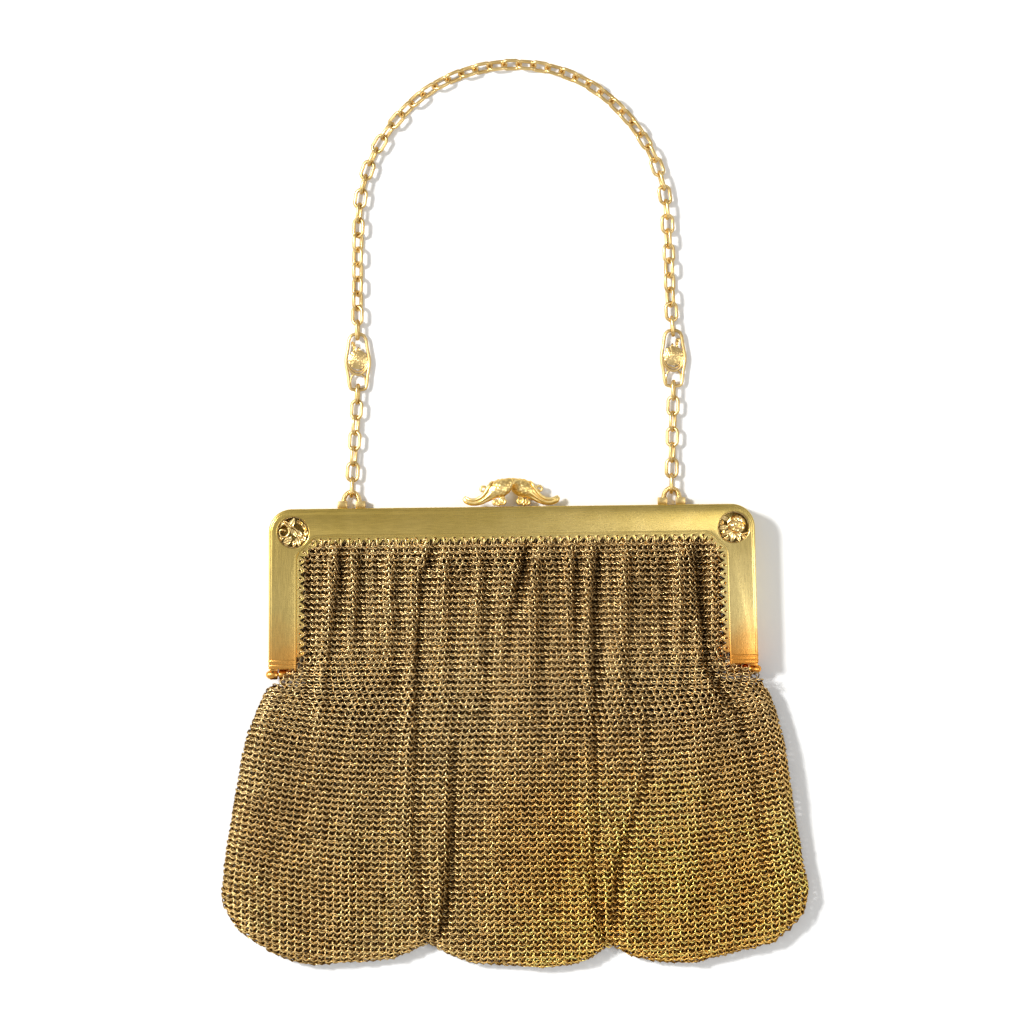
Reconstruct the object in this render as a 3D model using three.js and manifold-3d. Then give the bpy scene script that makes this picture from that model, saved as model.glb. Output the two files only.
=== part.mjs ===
// A gold ring-mesh evening purse, lying on its back with its chain handle spread above it.
// Millimetres. X runs across the purse, +Y from the bag towards the top of the handle, +Z up from
// the surface that it lies on. Pieces are modelled with y = 0 on the frame's top edge, and the
// whole purse is then centred over the origin.

import * as THREE from 'three';
import { mergeVertices } from 'three/addons/utils/BufferGeometryUtils.js';
import Module from 'manifold-3d';

const wasm = await Module();
wasm.setup();

// Clearance between pieces that seat on, or pass through, each other
const GAP = 0.3;

// The frame: two channel-shaped jaws that close face to face
const FRAME_WIDTH = 126.4;
const FRAME_CORNER = 6;
const LEG_LENGTH = 41.5;
const LEG_SPLAY_WIDTH = 0.5;
const FACE_WIDTH = 7.2;
const FACE_THICK = 1.0;
const FACE_ROUND = 0.35;
const RIM_THICK = 1.2;
const JAW_DEPTH = 4.2;
const SHOULDER = 4.7;

// The toothed flange that the mesh hangs from
const FLANGE_WIDTH = 2.0;
const FLANGE_STEP = 0.4;
const FLANGE_LAP = 1.0;
const FLANGE_STOP = 2.9;
const TOOTH_PITCH = 2.5;
const TOOTH_DEPTH = 1.2;

// Raised double bands near the ends of the front legs
const BAND_UP = 0.3;
const BAND_WIDTH = 0.7;
const BAND_PITCH = 1.2;
const BAND_STOP = 0.5;

// The hinge under each leg
const KNUCKLE_RADIUS = 1.3;
const PIN_RADIUS = 0.5;
const PIN_HEAD_RADIUS = 1.05;

// Round corner windows with a pierced ornament in each
const WINDOW_RADIUS = 4.05;
const WINDOW_IN = 5.9;
const WINDOW_DOWN = 5.8;
const SEAT_LAP = 0.35;
const SEAT_WIDTH = 1.1;
const SEAT_THICK = 0.5;

// The chain's eyes on the back jaw's top edge
const EYE_SPACING = 83.6;
const EYE_WIDTH = 5.2;
const EYE_HEIGHT = 4.7;
const EYE_WIRE = 1.2;
const EYE_FOOT_LENGTH = 2.5;
const EYE_FOOT_HEIGHT = 1.85;
const EYE_FOOT_THICK = 2.0;

// The kiss clasp: two scaled cornucopias, one on each jaw, whose heads cross
const CLASP_LENGTH = 12.6;
const CLASP_HEIGHT = 7.8;
const CLASP_THICK = 3.2;
const CLASP_CROSSING = 0.9;

// The chain
const LINK_LENGTH = 5.26;
const LINK_WIDTH = 3.45;
const LINK_WIRE = 0.72;
const LINK_FUSE = 0.085;
const LINK_SIDES = 5;
const LINK_LEAN = 45;
const LINK_SETTLE = 4;
const HANDLE_RISE = 115.5;

// The two rose links that break the chain
const ROSE_LINK_LENGTH = 15;
const ROSE_LINK_WIDTH = 6.9;
const ROSE_LINK_NECK = 4.8;
const ROSE_LINK_WIRE = 0.8;
const ROSE_RADIUS = 2.6;
const ROSE_RISE = 1.1;
const ROSE_HEIGHT = 38.3;

// The mesh bag
const BAG_WIDTH = 152.6;
const BAG_DROP = 119.3;
const BAG_THICK = 8.5;
const BAG_EDGE = 1.8;
const MESH_WALL = 1.4;
const MOUTH_OVERRUN = 2;

// Sizes that follow from those
const HALF_FRAME = FRAME_WIDTH / 2;
const TOOTH_TIP = FACE_WIDTH + FLANGE_WIDTH;
const FRONT_Z = JAW_DEPTH + GAP;
const HINGE_Y = -(LEG_LENGTH + GAP + KNUCKLE_RADIUS);
const PIN_HOLE_RADIUS = PIN_RADIUS + GAP;
const MOUTH_HALF = HALF_FRAME - TOOTH_TIP - GAP;
const MOUTH_Y = -(TOOTH_TIP + GAP);
const SHOULDER_Y = HINGE_Y - KNUCKLE_RADIUS - GAP;
const LINK_PITCH = LINK_LENGTH - 2 * LINK_WIRE;
const LINK_STAND_Z = LINK_WIDTH / 2;
const EYE_Z = LINK_STAND_Z;

// Side outlines of the bag below the frame: share of the drop, shares of half the width
const BAG_SIDES = [
  { down: 0.38, left: 0.825, right: 0.83 },
  { down: 0.42, left: 0.86, right: 0.87 },
  { down: 0.46, left: 0.885, right: 0.89 },
  { down: 0.50, left: 0.907, right: 0.905 },
  { down: 0.59, left: 0.938, right: 0.93 },
  { down: 0.68, left: 0.965, right: 0.95 },
  { down: 0.76, left: 0.985, right: 0.967 },
  { down: 0.85, left: 1.0, right: 0.995 },
];

// The scalloped lower edge: share of half the width, share of the drop
const BAG_HEM = [
  { across: -1.0, down: 0.85 },
  { across: -0.97, down: 0.892 },
  { across: -0.9, down: 0.929 },
  { across: -0.8, down: 0.969 },
  { across: -0.66, down: 0.983 },
  { across: -0.49, down: 0.978 },
  { across: -0.39, down: 0.972 },
  { across: -0.32, down: 0.945 },
  { across: -0.255, down: 0.961 },
  { across: -0.12, down: 0.99 },
  { across: 0.085, down: 1.0 },
  { across: 0.22, down: 0.99 },
  { across: 0.325, down: 0.956 },
  { across: 0.39, down: 0.976 },
  { across: 0.53, down: 0.991 },
  { across: 0.7, down: 0.976 },
  { across: 0.87, down: 0.958 },
  { across: 0.905, down: 0.935 },
  { across: 0.97, down: 0.893 },
  { across: 0.995, down: 0.85 },
];

// Folds of the front sheet: place at the mouth and at the hem as shares of half the width, where
// they start and end as shares of the drop, depth as a share of the bag's thickness, and width as
// a share of half the bag's width
const BAG_FOLDS = [
  { mouth: -0.565, hem: -0.60, from: 0.10, to: 0.44, depth: 0.16, width: 0.035 },
  { mouth: -0.297, hem: -0.315, from: 0.09, to: 1.05, depth: 0.3, width: 0.026 },
  { mouth: 0.062, hem: 0.05, from: 0.07, to: 0.3, depth: 0.12, width: 0.04 },
  { mouth: 0.348, hem: 0.325, from: 0.16, to: 1.05, depth: 0.26, width: 0.03 },
  { mouth: 0.64, hem: 0.65, from: 0.10, to: 0.42, depth: 0.14, width: 0.03 },
];

// Thickness of the bag down its length, as shares of the drop and of the bag's thickness
const BAG_SWELL = [
  { down: 0.07, thick: 1.0 },
  { down: 0.38, thick: 0.98 },
  { down: 0.6, thick: 0.95 },
  { down: 0.85, thick: 0.86 },
  { down: 1.0, thick: 0.72 },
];

// Grid lines of the bag's front sheet. Columns between the legs are shares of half the mouth, and
// the outer ones are shares of the way from there to the side edge. Rows are shares of each stretch.
const MOUTH_COLUMNS = [
  -1, -0.88, -0.8, -0.72, -0.57, -0.475, -0.42, -0.365, -0.24, -0.1, 0.02, 0.09, 0.17, 0.3,
  0.43, 0.49, 0.55, 0.7, 0.8, 0.91, 1,
];
const INNER_COLUMNS = [-1, -0.8, -0.57, -0.475, -0.42, -0.365, -0.1, 0.09, 0.3, 0.43, 0.49, 0.55, 0.8, 1];
const OUTER_COLUMNS = [0.45, 0.82, 1];
const MOUTH_ROWS = [0, 0.35, 0.7, 1];
const BODY_ROWS = [0, 0.07, 0.16, 0.3, 0.5, 0.7, 0.86, 0.965, 1];

// The handle's route from the left rose link over the top to the right one: shares of half the
// eyes' spacing, and of the handle's rise
const HANDLE_ROUTE = [
  { across: -0.945, up: 0.508 },
  { across: -0.937, up: 0.623 },
  { across: -0.915, up: 0.71 },
  { across: -0.835, up: 0.799 },
  { across: -0.691, up: 0.877 },
  { across: -0.49, up: 0.943 },
  { across: -0.239, up: 0.985 },
  { across: 0.031, up: 1.0 },
  { across: 0.301, up: 0.987 },
  { across: 0.55, up: 0.945 },
  { across: 0.754, up: 0.877 },
  { across: 0.9, up: 0.797 },
  { across: 0.978, up: 0.71 },
  { across: 1.0, up: 0.606 },
  { across: 1.007, up: 0.485 },
];
const ROSE_ACROSS = { left: -0.95, right: 1.023 };

// Solid and mesh helpers

function toSolid(geometry) {
  const bare = geometry.clone();
  bare.deleteAttribute('normal');
  bare.deleteAttribute('uv');
  const merged = mergeVertices(bare, 1e-4);
  const corners = merged.index.array;
  const kept = [];
  for (let i = 0; i < corners.length; i += 3) {
    const [a, b, c] = [corners[i], corners[i + 1], corners[i + 2]];
    if (a !== b && b !== c && c !== a) kept.push(a, b, c);
  }
  return new wasm.Manifold(new wasm.Mesh({
    numProp: 3,
    vertProperties: new Float32Array(merged.attributes.position.array),
    triVerts: new Uint32Array(kept),
  }));
}

function toGeometry(solid) {
  const mesh = solid.getMesh();
  const geometry = new THREE.BufferGeometry();
  geometry.setAttribute('position', new THREE.BufferAttribute(mesh.vertProperties, 3));
  geometry.setIndex(new THREE.BufferAttribute(mesh.triVerts, 1));
  geometry.computeVertexNormals();
  return geometry;
}

function join(solids) {
  return solids.reduce((sum, solid) => sum.add(solid));
}

function lerp(a, b, t) {
  return a + (b - a) * t;
}

// The value of one column of a table at a place in another, straight between the rows
function lookUp(table, key, value, at) {
  const last = table.length - 1;
  if (at <= table[0][key]) return table[0][value];
  if (at >= table[last][key]) return table[last][value];
  const next = table.findIndex((row) => row[key] > at);
  const share = (at - table[next - 1][key]) / (table[next][key] - table[next - 1][key]);
  return lerp(table[next - 1][value], table[next][value], share);
}

function block(x0, x1, y0, y1, z0, z1) {
  const geometry = new THREE.BoxGeometry(x1 - x0, y1 - y0, z1 - z0);
  geometry.translate((x0 + x1) / 2, (y0 + y1) / 2, (z0 + z1) / 2);
  return toSolid(geometry);
}

function slab(points, z0, z1, round = 0) {
  const geometry = new THREE.ExtrudeGeometry(new THREE.Shape(points), {
    depth: z1 - z0 - 2 * round,
    bevelEnabled: round > 0,
    bevelThickness: round,
    bevelSize: round,
    bevelOffset: -round,
    bevelSegments: 1,
  });
  geometry.translate(0, 0, z0 + round);
  return toSolid(geometry);
}

function drumAlongX(radius, x0, x1, y, z, sides) {
  const geometry = new THREE.CylinderGeometry(radius, radius, x1 - x0, sides);
  geometry.rotateZ(Math.PI / 2);
  geometry.translate((x0 + x1) / 2, y, z);
  return toSolid(geometry);
}

function drumAlongZ(radius, x, y, z0, z1, sides = 16) {
  const geometry = new THREE.CylinderGeometry(radius, radius, z1 - z0, sides);
  geometry.rotateX(Math.PI / 2);
  geometry.translate(x, y, (z0 + z1) / 2);
  return toSolid(geometry);
}

// A rod along a flat curve, its half-width given at each point and its thickness a share of that
function taperedRod(points, sides, steps, flat = 1) {
  const middle = new THREE.CatmullRomCurve3(points.map((p) => new THREE.Vector3(p.x, p.y, p.z)));
  const width = new THREE.CatmullRomCurve3(points.map((p) => new THREE.Vector3(p.r, 0, 0)));
  const positions = [];
  for (let i = 0; i <= steps; i += 1) {
    const centre = middle.getPoint(i / steps);
    const along = middle.getTangent(i / steps);
    const across = new THREE.Vector3(-along.y, along.x, 0).normalize();
    const radius = width.getPoint(i / steps).x;
    for (let j = 0; j < sides; j += 1) {
      const turn = (j + 0.5) / sides * 2 * Math.PI;
      const point = centre.clone().addScaledVector(across, radius * Math.cos(turn));
      positions.push(point.x, point.y, point.z - radius * flat * Math.sin(turn));
    }
  }
  const start = middle.getPoint(0);
  const end = middle.getPoint(1);
  positions.push(start.x, start.y, start.z, end.x, end.y, end.z);
  const startCap = (steps + 1) * sides;
  const faces = [];
  for (let j = 0; j < sides; j += 1) {
    const k = (j + 1) % sides;
    for (let i = 0; i < steps; i += 1) {
      const [a, b] = [i * sides + j, i * sides + k];
      const [c, d] = [a + sides, b + sides];
      faces.push(a, c, d, a, d, b);
    }
    faces.push(startCap, j, k);
    faces.push(startCap + 1, steps * sides + k, steps * sides + j);
  }
  const geometry = new THREE.BufferGeometry();
  geometry.setAttribute('position', new THREE.Float32BufferAttribute(positions, 3));
  geometry.setIndex(faces);
  return toSolid(geometry);
}

// A pointed leaf lying flat, from its stalk at (x, y) in the direction of an angle in degrees
function leaf(x, y, degrees, length, width, z0, z1) {
  const shape = new THREE.Shape();
  shape.moveTo(0, 0);
  shape.quadraticCurveTo(length * 0.4, width * 0.75, length, 0);
  shape.quadraticCurveTo(length * 0.4, -width * 0.75, 0, 0);
  const geometry = new THREE.ExtrudeGeometry(shape, {
    depth: z1 - z0,
    bevelEnabled: false,
    curveSegments: 2,
  });
  geometry.rotateZ(THREE.MathUtils.degToRad(degrees));
  geometry.translate(x, y, z0);
  return toSolid(geometry);
}

// A domed rosette with scalloped petals
function rosette(x, y, radius, z0, rise, petals = 5) {
  const profile = [
    new THREE.Vector2(0, 0),
    new THREE.Vector2(radius * 0.85, 0),
    new THREE.Vector2(radius, rise * 0.4),
    new THREE.Vector2(radius * 0.62, rise * 0.85),
    new THREE.Vector2(0, rise),
  ];
  const geometry = new THREE.LatheGeometry(profile, petals * 2);
  geometry.rotateX(Math.PI / 2);
  const position = geometry.attributes.position;
  for (let i = 0; i < position.count; i += 1) {
    const turn = Math.atan2(position.getY(i), position.getX(i));
    const lobe = 1 - 0.07 * (1 - Math.cos(petals * turn));
    position.setXYZ(i, position.getX(i) * lobe, position.getY(i) * lobe, position.getZ(i));
  }
  geometry.translate(x, y, z0);
  return toSolid(geometry);
}

// The jaws

// Half the frame's width at a height, at a depth in from its outer edge: the legs splay a little
function legX(y, depth) {
  const share = Math.min(1, Math.max(0, (-y - FRAME_CORNER) / (LEG_LENGTH - FRAME_CORNER)));
  return HALF_FRAME - depth + LEG_SPLAY_WIDTH * share;
}

function mirrored(points) {
  return points.concat(points.map((p) => new THREE.Vector2(-p.x, p.y)).reverse());
}

// Outer edge of a jaw from the left foot to the right one, at a depth in from the edge
function outerEdge(depth, foot) {
  const radius = FRAME_CORNER - depth;
  const points = [new THREE.Vector2(-legX(-foot, depth), -foot)];
  for (let i = 0; i <= 4; i += 1) {
    const turn = Math.PI - i / 4 * Math.PI / 2;
    points.push(new THREE.Vector2(
      -HALF_FRAME + FRAME_CORNER + radius * Math.cos(turn),
      -FRAME_CORNER + radius * Math.sin(turn),
    ));
  }
  return mirrored(points);
}

// The corners of the shouldered inner edge on the left side, from the foot to the top
function innerCorners(depth, foot) {
  const cut = SHOULDER - (depth - FACE_WIDTH) * (2 - Math.SQRT2);
  return [
    new THREE.Vector2(-legX(-foot, depth), -foot),
    new THREE.Vector2(-legX(-depth - cut, depth), -depth - cut),
    new THREE.Vector2(-HALF_FRAME + depth + cut, -depth),
  ];
}

function innerEdge(depth, foot) {
  return mirrored(innerCorners(depth, foot)).reverse();
}

// The inner edge with a row of teeth along each of its straight stretches
function toothedEdge(foot) {
  const corners = mirrored(innerCorners(TOOTH_TIP - TOOTH_DEPTH, foot));
  const points = [];
  for (let i = 0; i < corners.length - 1; i += 1) {
    const [from, to] = [corners[i], corners[i + 1]];
    const teeth = Math.max(1, Math.round(from.distanceTo(to) / TOOTH_PITCH));
    const along = to.clone().sub(from).divideScalar(teeth);
    const inward = new THREE.Vector2(along.y, -along.x).setLength(TOOTH_DEPTH);
    for (let k = 0; k < teeth; k += 1) {
      points.push(from.clone().addScaledVector(along, k));
      points.push(from.clone().addScaledVector(along, k + 0.5).add(inward));
    }
  }
  points.push(corners[corners.length - 1]);
  return points.reverse();
}

function legCentreX() {
  return legX(-LEG_LENGTH, FACE_WIDTH / 2);
}

// One of the three knuckles under a leg, counted from the outside, fused to the jaw's foot
function knuckle(side, place) {
  const pitch = (FACE_WIDTH + GAP) / 3;
  const x0 = side * legCentreX() - FACE_WIDTH / 2 + place * pitch;
  const x1 = x0 + pitch - GAP;
  const axisZ = -GAP / 2;
  const barrel = drumAlongX(KNUCKLE_RADIUS, x0, x1, HINGE_Y, axisZ, 8);
  const neck = block(x0, x1, HINGE_Y, -LEG_LENGTH + RIM_THICK / 2, 0, KNUCKLE_RADIUS + axisZ);
  const bore = drumAlongX(PIN_HOLE_RADIUS, x0 - 1, x1 + 1, HINGE_Y, axisZ, 6);
  return barrel.add(neck).subtract(bore);
}

// A jaw with its open side on z = 0 and its face on top
function jaw({ knuckles, windows, bands }) {
  const inside = FACE_WIDTH + FLANGE_WIDTH;
  const outline = outerEdge(0, LEG_LENGTH).concat(innerEdge(FACE_WIDTH, LEG_LENGTH));
  const hollow = outerEdge(RIM_THICK, LEG_LENGTH - RIM_THICK)
    .concat(innerEdge(inside, LEG_LENGTH - RIM_THICK));
  const under = JAW_DEPTH - FACE_THICK;
  const flangeTop = JAW_DEPTH - FLANGE_STEP;
  const foot = LEG_LENGTH - FLANGE_STOP;
  const flange = mirrored(innerCorners(FACE_WIDTH - FLANGE_LAP, foot)).concat(toothedEdge(foot));
  let body = slab(outline, 0, JAW_DEPTH, FACE_ROUND)
    .subtract(slab(hollow, -1, under))
    .add(slab(flange, under, flangeTop));
  for (const side of [-1, 1]) {
    for (const place of knuckles) body = body.add(knuckle(side, place));
    if (windows) {
      body = body.subtract(drumAlongZ(
        WINDOW_RADIUS, side * (HALF_FRAME - WINDOW_IN), -WINDOW_DOWN, under - 1, JAW_DEPTH + 1,
      ));
    }
    for (let i = 0; i < bands; i += 1) {
      const y = -LEG_LENGTH + BAND_STOP + BAND_WIDTH / 2 + i * BAND_PITCH;
      const middle = side * legX(y, FACE_WIDTH / 2);
      const reach = FACE_WIDTH / 2 - FACE_ROUND;
      body = body.add(block(
        middle - reach, middle + reach, y - BAND_WIDTH / 2, y + BAND_WIDTH / 2,
        under, JAW_DEPTH + BAND_UP,
      ));
    }
  }
  return toGeometry(body);
}

function hingePin() {
  const reach = FACE_WIDTH / 2 + GAP;
  const head = PIN_HEAD_RADIUS;
  const profile = [
    new THREE.Vector2(0, -reach - head * 1.2),
    new THREE.Vector2(head * 0.8, -reach - head),
    new THREE.Vector2(head, -reach - head * 0.4),
    new THREE.Vector2(head * 0.8, -reach),
    new THREE.Vector2(PIN_RADIUS, -reach),
    new THREE.Vector2(PIN_RADIUS, reach),
    new THREE.Vector2(head * 0.8, reach),
    new THREE.Vector2(head, reach + head * 0.4),
    new THREE.Vector2(head * 0.8, reach + head),
    new THREE.Vector2(0, reach + head * 1.2),
  ];
  return toGeometry(toSolid(new THREE.LatheGeometry(profile, 6)));
}

// The ornaments in the corner windows, centred on the window, with z = 0 on the frame's face

function ornamentSeat() {
  const outer = WINDOW_RADIUS + SEAT_LAP;
  const top = -FACE_THICK - GAP;
  return drumAlongZ(outer, 0, 0, top - SEAT_THICK, top, 10)
    .subtract(drumAlongZ(outer - SEAT_WIDTH, 0, 0, top - SEAT_THICK - 1, top + 1, 10));
}

function budOrnament() {
  const reach = WINDOW_RADIUS - GAP;
  const low = -FACE_THICK - GAP - SEAT_THICK;
  const mid = low / 2;
  const stem = taperedRod([
    { x: -0.62 * reach, y: 0.55 * reach, z: mid, r: 0.12 * reach },
    { x: -0.2 * reach, y: 0.42 * reach, z: mid, r: 0.17 * reach },
    { x: 0.12 * reach, y: 0.02 * reach, z: mid, r: 0.26 * reach },
    { x: 0.36 * reach, y: -0.4 * reach, z: mid, r: 0.17 * reach },
    { x: 0.5 * reach, y: -0.74 * reach, z: mid, r: 0.12 * reach },
  ], 5, 5, 1);
  const hoop = taperedRod([
    { x: -0.3 * reach, y: 0.42 * reach, z: mid, r: 0.1 * reach },
    { x: -0.78 * reach, y: 0.25 * reach, z: mid, r: 0.1 * reach },
    { x: -0.78 * reach, y: -0.3 * reach, z: mid, r: 0.1 * reach },
    { x: -0.2 * reach, y: -0.62 * reach, z: mid, r: 0.12 * reach },
    { x: 0.3 * reach, y: -0.5 * reach, z: mid, r: 0.1 * reach },
  ], 5, 5, 1);
  return toGeometry(join([
    ornamentSeat(), stem, hoop,
    leaf(-0.2 * reach, 0.4 * reach, 62, 0.62 * reach, 0.5 * reach, low, 0),
    leaf(0.3 * reach, 0.1 * reach, 28, 0.66 * reach, 0.5 * reach, low, 0),
    leaf(0.2 * reach, -0.2 * reach, -22, 0.66 * reach, 0.5 * reach, low, -0.1),
    leaf(0, -0.45 * reach, -150, 0.6 * reach, 0.4 * reach, low, -0.1),
  ]));
}

function roseOrnament() {
  const reach = WINDOW_RADIUS - GAP;
  const low = -FACE_THICK - GAP - SEAT_THICK;
  const stem = taperedRod([
    { x: 0.1 * reach, y: 0, z: low / 2, r: 0.14 * reach },
    { x: -0.15 * reach, y: -0.4 * reach, z: low / 2, r: 0.12 * reach },
    { x: -0.62 * reach, y: -0.66 * reach, z: low / 2, r: 0.1 * reach },
  ], 5, 4, 1);
  return toGeometry(join([
    ornamentSeat(), stem,
    rosette(0.24 * reach, 0.24 * reach, 0.6 * reach, low, -low),
    leaf(-0.45 * reach, -0.6 * reach, 100, 0.9 * reach, 0.5 * reach, low, 0),
    leaf(-0.4 * reach, 0.3 * reach, 125, 0.55 * reach, 0.4 * reach, low, -0.1),
    leaf(-0.1 * reach, -0.35 * reach, -20, 0.8 * reach, 0.45 * reach, low, 0),
    leaf(-0.1 * reach, -0.45 * reach, -95, 0.45 * reach, 0.4 * reach, low, -0.1),
  ]));
}

// An eye: an arch on two feet, with y = 0 on the frame's edge and z = 0 at its middle
function chainEye() {
  const radius = (EYE_WIDTH - EYE_WIRE) / 2;
  const spring = GAP + EYE_HEIGHT - EYE_WIRE / 2 - radius;
  const points = [];
  for (let i = 0; i <= 8; i += 1) {
    const turn = Math.PI * i / 8;
    points.push({
      x: -radius * Math.cos(turn), y: spring + radius * Math.sin(turn), z: 0, r: EYE_WIRE / 2,
    });
  }
  const footY = GAP + EYE_FOOT_HEIGHT / 2;
  points.unshift({ x: -radius, y: footY, z: 0, r: EYE_WIRE / 2 });
  points.push({ x: radius, y: footY, z: 0, r: EYE_WIRE / 2 });
  const inner = radius - EYE_WIRE / 2;
  const halfThick = EYE_FOOT_THICK / 2;
  const feet = [-1, 1].map((side) => {
    const ends = [side * inner, side * (inner + EYE_FOOT_LENGTH)];
    const [x0, x1] = [Math.min(...ends), Math.max(...ends)];
    return block(x0, x1, GAP, GAP + EYE_FOOT_HEIGHT, -halfThick, halfThick);
  });
  return toGeometry(join([taperedRod(points, 5, 10), ...feet]));
}

// Half of the clasp, seen with its tongue to the left and its head over x = 0
function claspHalf() {
  const [long, high] = [CLASP_LENGTH, CLASP_HEIGHT];
  const fat = CLASP_THICK / 2;
  const head = taperedRod([
    { x: CLASP_CROSSING, y: 0.84 * high, z: 0, r: 0.45 * fat },
    { x: -0.05 * long, y: 0.8 * high, z: 0, r: 0.75 * fat },
    { x: -0.17 * long, y: 0.74 * high, z: 0, r: fat },
    { x: -0.33 * long, y: 0.58 * high, z: 0, r: fat },
    { x: -0.5 * long, y: 0.4 * high, z: 0, r: 0.8 * fat },
    { x: -0.66 * long, y: 0.2 * high, z: 0, r: 0.42 * fat },
    { x: -0.84 * long, y: 0.13 * high, z: 0, r: 0.36 * fat },
    { x: -0.965 * long, y: 0.26 * high, z: 0, r: 0.28 * fat },
  ], 7, 10, 0.94);
  const scroll = taperedRod([
    { x: -0.5 * long, y: 0.42 * high, z: 0, r: 0.26 * fat },
    { x: -0.6 * long, y: 0.5 * high, z: 0, r: 0.24 * fat },
    { x: -0.63 * long, y: 0.62 * high, z: 0, r: 0.2 * fat },
    { x: -0.57 * long, y: 0.66 * high, z: 0, r: 0.16 * fat },
  ], 5, 4, 1.4);
  const foot = [-0.16, -0.34].map((across) => taperedRod([
    { x: -0.25 * long, y: 0.45 * high, z: 0, r: 0.45 * fat },
    { x: (across + 0.01) * long, y: 0.25 * high, z: 0, r: 0.42 * fat },
    { x: across * long, y: GAP + 0.12 * high, z: 0, r: 0.36 * fat },
    { x: across * long, y: GAP, z: 0, r: 0.26 * fat },
  ], 5, 4, 1.5));
  return toGeometry(join([head, scroll, ...foot]));
}

// The chain

// A closed wire through flat corners, one edge of its section facing inwards all the way round
function wireLoop(corners, radius, sides) {
  const positions = [];
  corners.forEach((corner, i) => {
    const before = corners[(i + corners.length - 1) % corners.length];
    const after = corners[(i + 1) % corners.length];
    const from = corner.clone().sub(before).normalize();
    const to = after.clone().sub(corner).normalize();
    const along = from.clone().add(to).normalize();
    const inward = new THREE.Vector2(-along.y, along.x).divideScalar(along.dot(to));
    for (let j = 0; j < sides; j += 1) {
      const turn = j / sides * 2 * Math.PI;
      const reach = radius * Math.cos(turn);
      positions.push(corner.x + inward.x * reach, corner.y + inward.y * reach);
      positions.push(radius * Math.sin(turn));
    }
  });
  const faces = [];
  for (let i = 0; i < corners.length; i += 1) {
    for (let j = 0; j < sides; j += 1) {
      const [k, next] = [(j + 1) % sides, (i + 1) % corners.length];
      const [a, b] = [i * sides + j, i * sides + k];
      const [c, d] = [next * sides + j, next * sides + k];
      faces.push(a, d, c, a, b, d);
    }
  }
  const geometry = new THREE.BufferGeometry();
  geometry.setAttribute('position', new THREE.Float32BufferAttribute(positions, 3));
  geometry.setIndex(faces);
  return geometry;
}

// The ten corners of a link's centre line: three flats round each end, two along each side
function linkCorners(length, width) {
  const radius = width / 2;
  const bend = radius * Math.cos(Math.PI / 6);
  const end = (turn) => new THREE.Vector2(
    length / 2 - bend + radius * Math.cos(turn), radius * Math.sin(turn),
  );
  const half = [-Math.PI / 2, -Math.PI / 6, Math.PI / 6, Math.PI / 2].map(end);
  half.push(new THREE.Vector2(0, radius));
  return half.concat(half.map((p) => new THREE.Vector2(-p.x, -p.y)));
}

// Height of a link's middle when it leans over from upright by an angle, resting on its wire
function linkHeight(lean) {
  return (LINK_WIDTH - LINK_WIRE) / 2 * Math.cos(lean) + LINK_WIRE / 2;
}

// A chain along a route between the points where its end links bear, as one fused solid. Each link
// is a quarter turn from the last. The end ones stand upright, and the rest lean over.
function chain(points, leanDegrees, settle) {
  const route = new THREE.CatmullRomCurve3(points, false, 'centripetal');
  route.arcLengthDivisions = 2000;
  const count = Math.round(route.getLength() / LINK_PITCH);
  const pitch = route.getLength() / count;
  const corners = linkCorners(pitch - LINK_FUSE + LINK_WIRE, LINK_WIDTH - LINK_WIRE);
  const links = [];
  for (let i = 0; i < count; i += 1) {
    const along = route.getPointAt((i + 1) / count).sub(route.getPointAt(i / count)).normalize();
    const upright = Math.max(0, 1 - Math.min(i, count - 1 - i) / settle);
    const lean = THREE.MathUtils.degToRad(leanDegrees * (1 - upright));
    const roll = Math.PI / 2 - lean + (i % 2) * Math.PI / 2;
    const side = new THREE.Vector3(-along.y, along.x, 0);
    const across = side.multiplyScalar(Math.cos(roll)).setZ(Math.sin(roll));
    const normal = new THREE.Vector3().crossVectors(along, across);
    const centre = route.getPointAt((i + 0.5) / count).setZ(linkHeight(lean));
    const link = wireLoop(corners, LINK_WIRE / 2, LINK_SIDES);
    link.applyMatrix4(new THREE.Matrix4().makeBasis(along, across, normal).setPosition(centre));
    links.push(toSolid(link));
  }
  return toGeometry(join(links));
}

const EYE_CROWN_Y = GAP + EYE_HEIGHT - EYE_WIRE / 2;
const ROSE_BAR = (ROSE_LINK_LENGTH - ROSE_LINK_WIRE) / 2;
const ROSE_BEARING = ROSE_BAR - ROSE_LINK_WIRE / 2 - GAP;

function roseX(side) {
  return (side < 0 ? ROSE_ACROSS.left : ROSE_ACROSS.right) * EYE_SPACING / 2;
}

// From an eye up to the lower bar of its rose link
function lowerChain(side) {
  const start = new THREE.Vector3(
    side * EYE_SPACING / 2, EYE_CROWN_Y - EYE_WIRE / 2 - GAP, 0,
  );
  const end = new THREE.Vector3(roseX(side), ROSE_HEIGHT - ROSE_BEARING, 0);
  return chain([start, start.clone().lerp(end, 0.5), end], 0, 1);
}

// From one rose link's upper bar over the top of the handle to the other's
function upperChain() {
  const points = HANDLE_ROUTE.map((row) => new THREE.Vector3(
    row.across * EYE_SPACING / 2, row.up * HANDLE_RISE, 0,
  ));
  points.unshift(new THREE.Vector3(roseX(-1), ROSE_HEIGHT + ROSE_BEARING, 0));
  points.push(new THREE.Vector3(roseX(1), ROSE_HEIGHT + ROSE_BEARING, 0));
  return chain(points, LINK_LEAN, LINK_SETTLE);
}

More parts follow.
